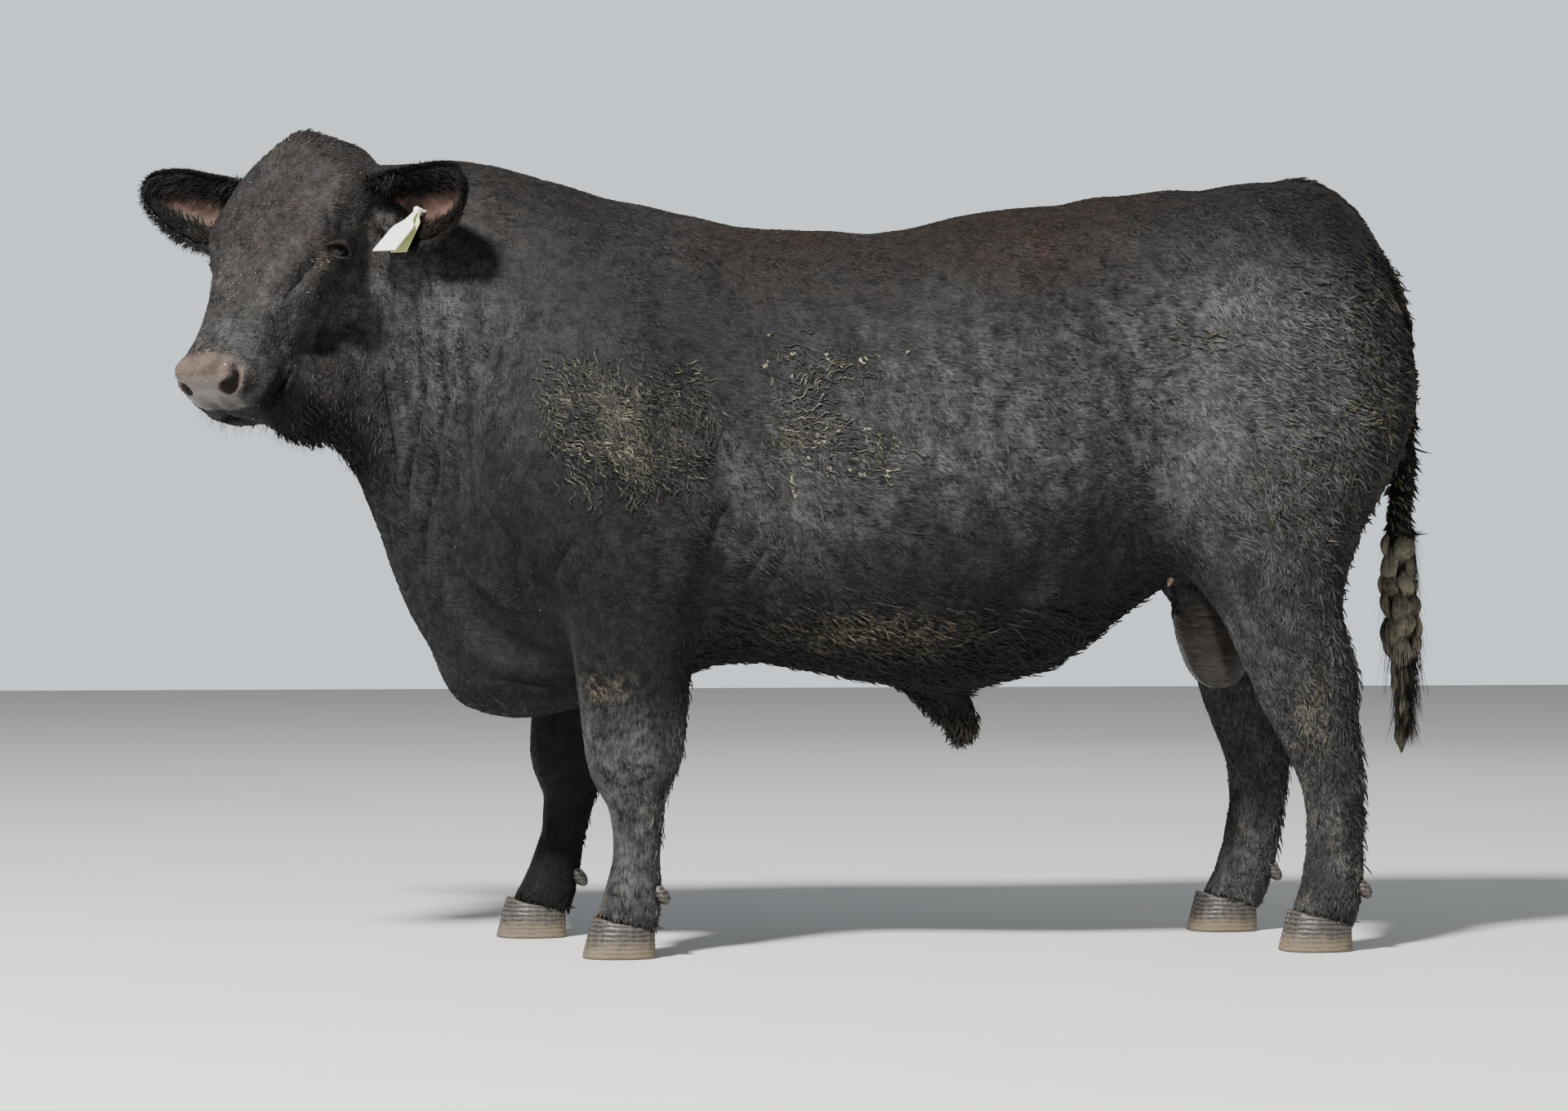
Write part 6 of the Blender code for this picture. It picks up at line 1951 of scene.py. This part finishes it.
@dataclass
class Whiskers:
    """Stiff hairs of the lips, chin and brow."""

    hide: Hide
    count: int = 420
    seed: int = 63

    def build(self, finishes: Finishes) -> None:
        """Picks corners of the hide round the mouth and over the eyes and grows a thin hair on each."""
        hide, draw = self.hide, np.random.default_rng(self.seed)
        local = hide.anatomy.head.local(hide.points)
        along, _, above = local.T
        want = (ease(along, 0.40, 0.50) * ease(-above, 0.095, 0.115) * hide.zone["head"]
                + 0.05 * mound(folded(local), (0.17, 0.12, -0.05), (0.03, 0.02, 0.03)))
        want = want * (1 - hide.zone["pad"])
        chosen = draw.choice(len(want), self.count, p=want / want.sum())
        root, normal = hide.points[chosen], hide.normals[chosen]
        lie = normal * 0.8 - UP * 0.55 + hide.anatomy.head.face * 0.25
        lie = unit(lie + draw.normal(0, 0.25, (self.count, 3)))
        side = unit(np.cross(lie, UP))
        length = draw.uniform(0.012, 0.034, self.count)
        zone = hide.anatomy.regions(root)
        made = Locks(3, True).build(root, np.cross(side, lie), lie, length, np.full(self.count, 0.0007),
                                    draw.uniform(-0.25, 0.1, self.count), draw.normal(0, 0.2, self.count),
                                    draw.uniform(0, 0.6, self.count), hide.anatomy.unwrap(root, zone), 0.0)
        made.piece("whiskers", finishes.coat, **plain_marks(self.count))


# Tail, feet, tag, teats.
@dataclass
class Switch:
    """The tail's end: caked lozenge clumps that overlap round a dark core, and loose hair."""

    core: tuple = ((0.770, 1.1339, 0.0175), (0.7486, 1.1339, 0.0185), (0.7150, 1.1329, 0.0190),
                   (0.6700, 1.1319, 0.0235), (0.6150, 1.1349, 0.0265), (0.5600, 1.1379, 0.0235),
                   (0.5150, 1.1399, 0.0120), (0.430, 1.1400, 0.0050), (0.340, 1.1400, 0.0030))
    levels: tuple = (0.765, 0.728, 0.690, 0.652, 0.612, 0.572, 0.532, 0.496, 0.464, 0.436, 0.412)
    grid: tuple = (13, 14)
    loose: int = 1500
    seed: int = 19

    def axis(self, z: Array) -> tuple[Array, Array]:
        """The core's place along X and its radius at a height."""
        table = np.array(self.core)
        return np.interp(-z, -table[:, 0], table[:, 1]), np.interp(-z, -table[:, 0], table[:, 2])

    def clumps(self, finishes: Finishes) -> None:
        """The clumps: flattened spindles hung in staggered rings, each a grid closed at both ends.

        The half width is a power of the sine of the way down; the middle line stands off the core
        by a sine of the way down and turns a little round the tail.
        """
        draw = np.random.default_rng(self.seed)
        rows, around = self.grid
        z0, angle = [], []
        for i, level in enumerate(self.levels):
            ring = 5 if 0.70 > level > 0.56 else (4 if level > 0.45 else 3)
            z0.append(np.full(ring, level))
            angle.append((np.arange(ring) + 0.5 * (i % 2)) * 2 * math.pi / ring)
        z0, angle = np.concatenate(z0), np.concatenate(angle)
        count = len(z0)
        z0 = z0 + draw.uniform(-0.009, 0.009, count)
        angle = angle + draw.uniform(-0.20, 0.20, count)
        low = ease(-z0, -0.58, -0.46)
        length = draw.uniform(0.066, 0.094, count) * (1 - 0.22 * low)
        wide = draw.uniform(0.0155, 0.0210, count) * (1 - 0.46 * low)
        deep = wide * draw.uniform(0.36, 0.50, count)
        stand = draw.uniform(0.003, 0.009, count) * (1 - 0.5 * low)
        aside = draw.uniform(-0.35, 0.35, count)
        s = np.linspace(0, 1, rows)[None, :]
        z = z0[:, None] - s * length[:, None]
        centre, radius = self.axis(z)
        off = radius * 0.80 + (stand[:, None] + 0.003) * np.sin(np.pi * np.clip(s * 1.15, 0, 1)) + 0.002
        turn = angle[:, None] + aside[:, None] * s ** 1.5
        out = np.stack([np.cos(turn), np.sin(turn), np.zeros_like(turn)], axis=-1)
        side = np.stack([-np.sin(turn), np.cos(turn), np.zeros_like(turn)], axis=-1)
        middle = np.stack([centre, np.zeros_like(z), z], axis=-1) + off[..., None] * out
        swell = np.sin(np.pi * np.clip(0.02 + 0.97 * s ** 0.85, 0, 1)) ** 1.10
        phi = np.linspace(0, 2 * math.pi, around, False)
        bumps = np.sin(3 * phi + z0[:, None] * 900)[:, None, :]
        lump = 1 + 0.10 * bumps * np.sin(9 * s + angle[:, None])[..., None]
        a = (wide[:, None] * swell)[..., None] * np.cos(phi) * lump
        b = (deep[:, None] * swell)[..., None] * np.sin(phi) * lump
        points = middle[:, :, None] + a[..., None] * side[:, :, None] + b[..., None] * out[:, :, None]
        per = rows * around
        ends = np.stack([middle[:, 0] + UP * 0.002, middle[:, -1] - UP * 0.004], axis=1)
        points = np.concatenate([points.reshape(count, per, 3), ends], axis=1)
        ring = np.arange(around)
        one = np.concatenate([halved(grid_faces(rows, around, closed=True)[:, ::-1]),
                              fan(ring, per)[:, ::-1], fan(ring + per - around, per + 1)])
        faces = (one[None] + (np.arange(count) * (per + 2))[:, None, None]).reshape(-1, 3)
        flat = points.reshape(-1, 3)
        first = flat[:per + 2]
        if (point_turns(first, one)[:per] * (first[:per] - middle[0].mean(0))).sum() < 0:
            faces = faces[:, ::-1]
        piece = mesh_object("switch_clumps", flat, faces, finishes.clump)
        set_values(piece, shade=np.repeat(draw.uniform(0.45, 1.0, count), per + 2))
        finish_piece(piece, "long hair", "tail_switch")

    def hairs(self, finishes: Finishes) -> None:
        """Loose dark hair between the clumps and beyond them, most of it behind."""
        draw = np.random.default_rng(self.seed + 1)
        count = self.loose
        z = draw.uniform(0.44, 0.80, count)
        angle = np.where(draw.uniform(0, 1, count) < 0.75, draw.normal(0.0, 0.7, count),
                         draw.uniform(0, 2 * math.pi, count))
        centre, radius = self.axis(z)
        out = np.stack([np.cos(angle), np.sin(angle), 0 * z], axis=-1)
        away = radius * draw.uniform(0.7, 1.1, count)
        root = np.stack([centre, 0 * z, z], axis=-1) + out * away[:, None]
        lie = unit(-UP + out * draw.uniform(-0.05, 0.12, count)[:, None] + draw.normal(0, 0.05, (count, 3)))
        length = np.minimum(draw.uniform(0.05, 0.13, count), z - 0.352)
        uv = np.stack([0.975 + 0.02 * (angle % 6.28) / 6.28, 0.02 + 0.6 * z], axis=1)
        made = Locks(3, True).build(root, out, lie, length, draw.uniform(0.0008, 0.0022, count),
                                    draw.uniform(0.02, 0.14, count), draw.normal(0, 0.10, count),
                                    draw.beta(2, 2, count), uv, 0.0)
        plain = plain_marks(count, tan=0.15, brown=0.5)
        plain["mud"] = draw.uniform(0.1, 0.8, count)
        made.piece("switch_hair", finishes.coat, "long hair", **plain)

    def build(self, finishes: Finishes) -> None:
        """Makes the clumps and the loose hair."""
        self.clumps(finishes)
        self.hairs(finishes)


@dataclass
class Hooves:
    """Claws and dewclaws, rounded off and ringed."""

    voxel: float = 0.0032
    rounds: int = 10

    def build(self, finishes: Finishes) -> None:
        """Remeshes copies of the horn solids, smooths them and keeps their soles level."""
        names = [f"{foot}_{kind}_{place}" for foot in FEET for kind in ("claw", "dewclaw")
                 for place in ("outer", "inner")]
        parts = []
        for name in names:
            points, triangles, _ = settled(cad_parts[name])
            size = self.voxel * (1.0 if "_claw" in name else 0.7)
            points, triangles, _ = reworked(points, triangles, {
                "WELD": {"merge_threshold": WELD}, "REMESH": {"mode": "VOXEL", "voxel_size": size},
                "SMOOTH": {"iterations": self.rounds, "factor": 0.5}})
            if "_claw" in name:
                low = ease(-points[:, 2], -0.006, -0.001)
                points[:, 2] = np.maximum(points[:, 2] * (1 - low), 0.0)
                rise = 0.0005 * np.sin(points[:, 2] * 620 + 90 * points[:, 0])
                points += point_turns(points, triangles) * (rise * ease(points[:, 2], 0.006, 0.02))[:, None]
            parts.append((points, triangles))
        finish_piece(mesh_object("hooves", *joined(parts), finishes.horn), "horn", *names)


class TagPlate(Enum):
    """The two plates that hang from the left ear."""

    FRONT = ("ear_tag", "white tag")
    SECOND = ("ear_tag_second", "yellow tag")

    def build(self, finish: bpy.types.Material) -> None:
        """Makes a copy of the plate with worn round edges.

        Args:
            finish: the plate's material.
        """
        node, slot = self.value
        points, triangles, _ = settled(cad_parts[node])
        points, triangles, _ = reworked(points, triangles, {
            "WELD": {"merge_threshold": WELD},
            "BEVEL": {"width": 0.0006, "segments": 2, "limit_method": "ANGLE",
                      "angle_limit": math.radians(35.0)}}, smooth=False)
        piece = mesh_object("plate_" + self.name.lower(), points, triangles, finish, smooth=False)
        finish_piece(piece, slot, node)


@dataclass(frozen=True)
class Teats:
    """Small bare teats in the groin."""

    places: tuple = ((0.686, -0.088, 0.672), (0.686, 0.088, 0.672), (0.728, -0.070, 0.690),
                     (0.728, 0.070, 0.690))
    length: float = 0.017
    radius: float = 0.0062
    grid: tuple = (10, 16)

    def build(self, finishes: Finishes) -> None:
        """Turns a rounded cone about its own axis for each: the radius is a root of one less s cubed."""
        rows, around = self.grid
        s, phi = polar(np.linspace(0, 1, rows), around)
        width = self.radius * np.sqrt(np.maximum(1 - s ** 3, 1e-4)) * (1 - 0.25 * s)
        total = rows * around
        tip = fan(np.arange(total - around, total), total)
        faces = np.concatenate([halved(grid_faces(rows, around, closed=True)), tip])[:, ::-1]
        parts = []
        for place in self.places:
            down = unit(np.array((-0.35, np.sign(place[1]) * 0.2, -1.0)))
            a = unit(np.cross(down, (0.0, 1.0, 0.0)))
            b = np.cross(down, a)
            points = (np.array(place) + (s * self.length)[..., None] * down
                      + (width * np.cos(phi))[..., None] * a + (width * np.sin(phi))[..., None] * b)
            parts.append((np.concatenate([points.reshape(-1, 3), points[-1].mean(0)[None]]), faces))
        finish_piece(mesh_object("teats", *joined(parts), finishes.teat), "bare skin")


# The studio.
@dataclass(frozen=True)
class Camera:
    """The photograph's camera: a long lens from the left side, level with the chest."""

    shift: Array
    distance: float = 8.2
    height: float = 0.766
    turn: float = math.radians(6.0)
    lens: float = 102.75
    drop: float = 35.5 / 5480.0

    def build(self) -> None:
        """Adds the camera and makes it the scene's own."""
        data = bpy.data.cameras.new("camera")
        data.lens = self.lens
        data.sensor_width = 36.0
        piece = bpy.data.objects.new("camera", data)
        bpy.context.scene.collection.objects.link(piece)
        place = np.array((-self.distance * math.sin(self.turn), -self.distance * math.cos(self.turn),
                          self.height))
        piece.location = place + self.shift
        piece.rotation_euler = (math.pi / 2 - math.atan(self.drop), 0.0, -self.turn)
        bpy.context.scene.camera = piece


@dataclass(frozen=True)
class Lamp:
    """One soft box: where it hangs, what it looks at, how large and how strong it is."""

    name: str
    place: tuple
    size: float
    power: float
    colour: tuple = (1.0, 1.0, 1.0)
    target: tuple = (0.0, 0.0, 0.8)

    def build(self) -> None:
        """Adds the light, turned to its target."""
        data = bpy.data.lights.new(self.name, "AREA")
        data.shape = "DISK"
        data.size = self.size
        data.energy = self.power
        data.color = self.colour
        piece = bpy.data.objects.new(self.name, data)
        bpy.context.scene.collection.objects.link(piece)
        piece.location = self.place
        way = Vector(self.target) - Vector(self.place)
        piece.rotation_euler = way.to_track_quat("-Z", "Y").to_euler()


@dataclass
class Studio:
    """A plain pale floor and soft light, brightest from the upper left."""

    floor_reach: float = 26.0
    floor_steps: int = 9
    floor_drop: float = 0.0004
    glow: float = 0.27
    backdrop: float = 1.15
    lamps: tuple = (
        Lamp("key", (-3.8, -6.0, 7.8), 1.3, 3250.0, (1.0, 0.97, 0.93)),
        Lamp("bounce", (-0.8, -7.2, 1.0), 4.0, 85.0, (1.0, 0.99, 0.95), (0.0, 0.0, 0.7)),
        Lamp("behind", (2.6, 5.5, 4.2), 3.5, 70.0, (1.0, 0.99, 0.98)),
    )

    def build(self) -> None:
        """Adds the floor, the lamps and the pale world."""
        half, steps = self.floor_reach / 2, self.floor_steps
        u = np.linspace(-half, half, steps)
        level = np.full((steps, steps), -self.floor_drop)
        grid = np.stack(np.meshgrid(u, u, indexing="ij") + [level], axis=-1)
        material, wire, shader = new_material("pale floor")
        tone = wire.mix(wire.noise(3.0, 4.0), (0.60, 0.60, 0.595), (0.66, 0.66, 0.655))
        wire.feed(shader, Base_Color=tone)
        put(shader, Roughness=0.75)
        floor = mesh_object("floor", grid.reshape(-1, 3), grid_faces(steps, steps), material)
        for lamp in self.lamps:
            lamp.build()
        world = bpy.data.worlds.new("world")
        world.use_nodes = True
        back = world.node_tree.nodes["Background"]
        back.inputs[0].default_value = (0.80, 0.88, 0.95, 1.0)
        wire = Wiring(world.node_tree)
        seen = wire.node("ShaderNodeLightPath").outputs["Is Camera Ray"]
        wire.tree.links.new(wire.span(seen, 0.0, 1.0, self.glow, self.backdrop), back.inputs[1])
        bpy.context.scene.world = world


def main() -> None:
    """Builds the bull's pieces in order; the hide and the tufts log their counts."""
    logging.basicConfig(level=logging.INFO, format="%(message)s")
    head = HeadFrame()
    Camera(head.shift).build()
    anatomy = Anatomy(head)
    finishes = Finishes()
    hide = Hide(anatomy)
    hide.build()
    hide.dress(finishes, [Ear(side, head) for side in SIDES.values()])
    Coat(hide).build(finishes)
    LongHair(hide).build(finishes)
    Mud(hide).build(finishes)
    for name, side in SIDES.items():
        Eye(side, name, head, hide).build(finishes)
        EarHair(Ear(side, head), name).build(finishes)
    Whiskers(hide).build(finishes)
    Switch().build(finishes)
    Hooves().build(finishes)
    TagPlate.FRONT.build(finishes.white_tag)
    TagPlate.SECOND.build(finishes.yellow_tag)
    Teats().build(finishes)
    Studio().build()


if __name__ == "__main__":
    main()
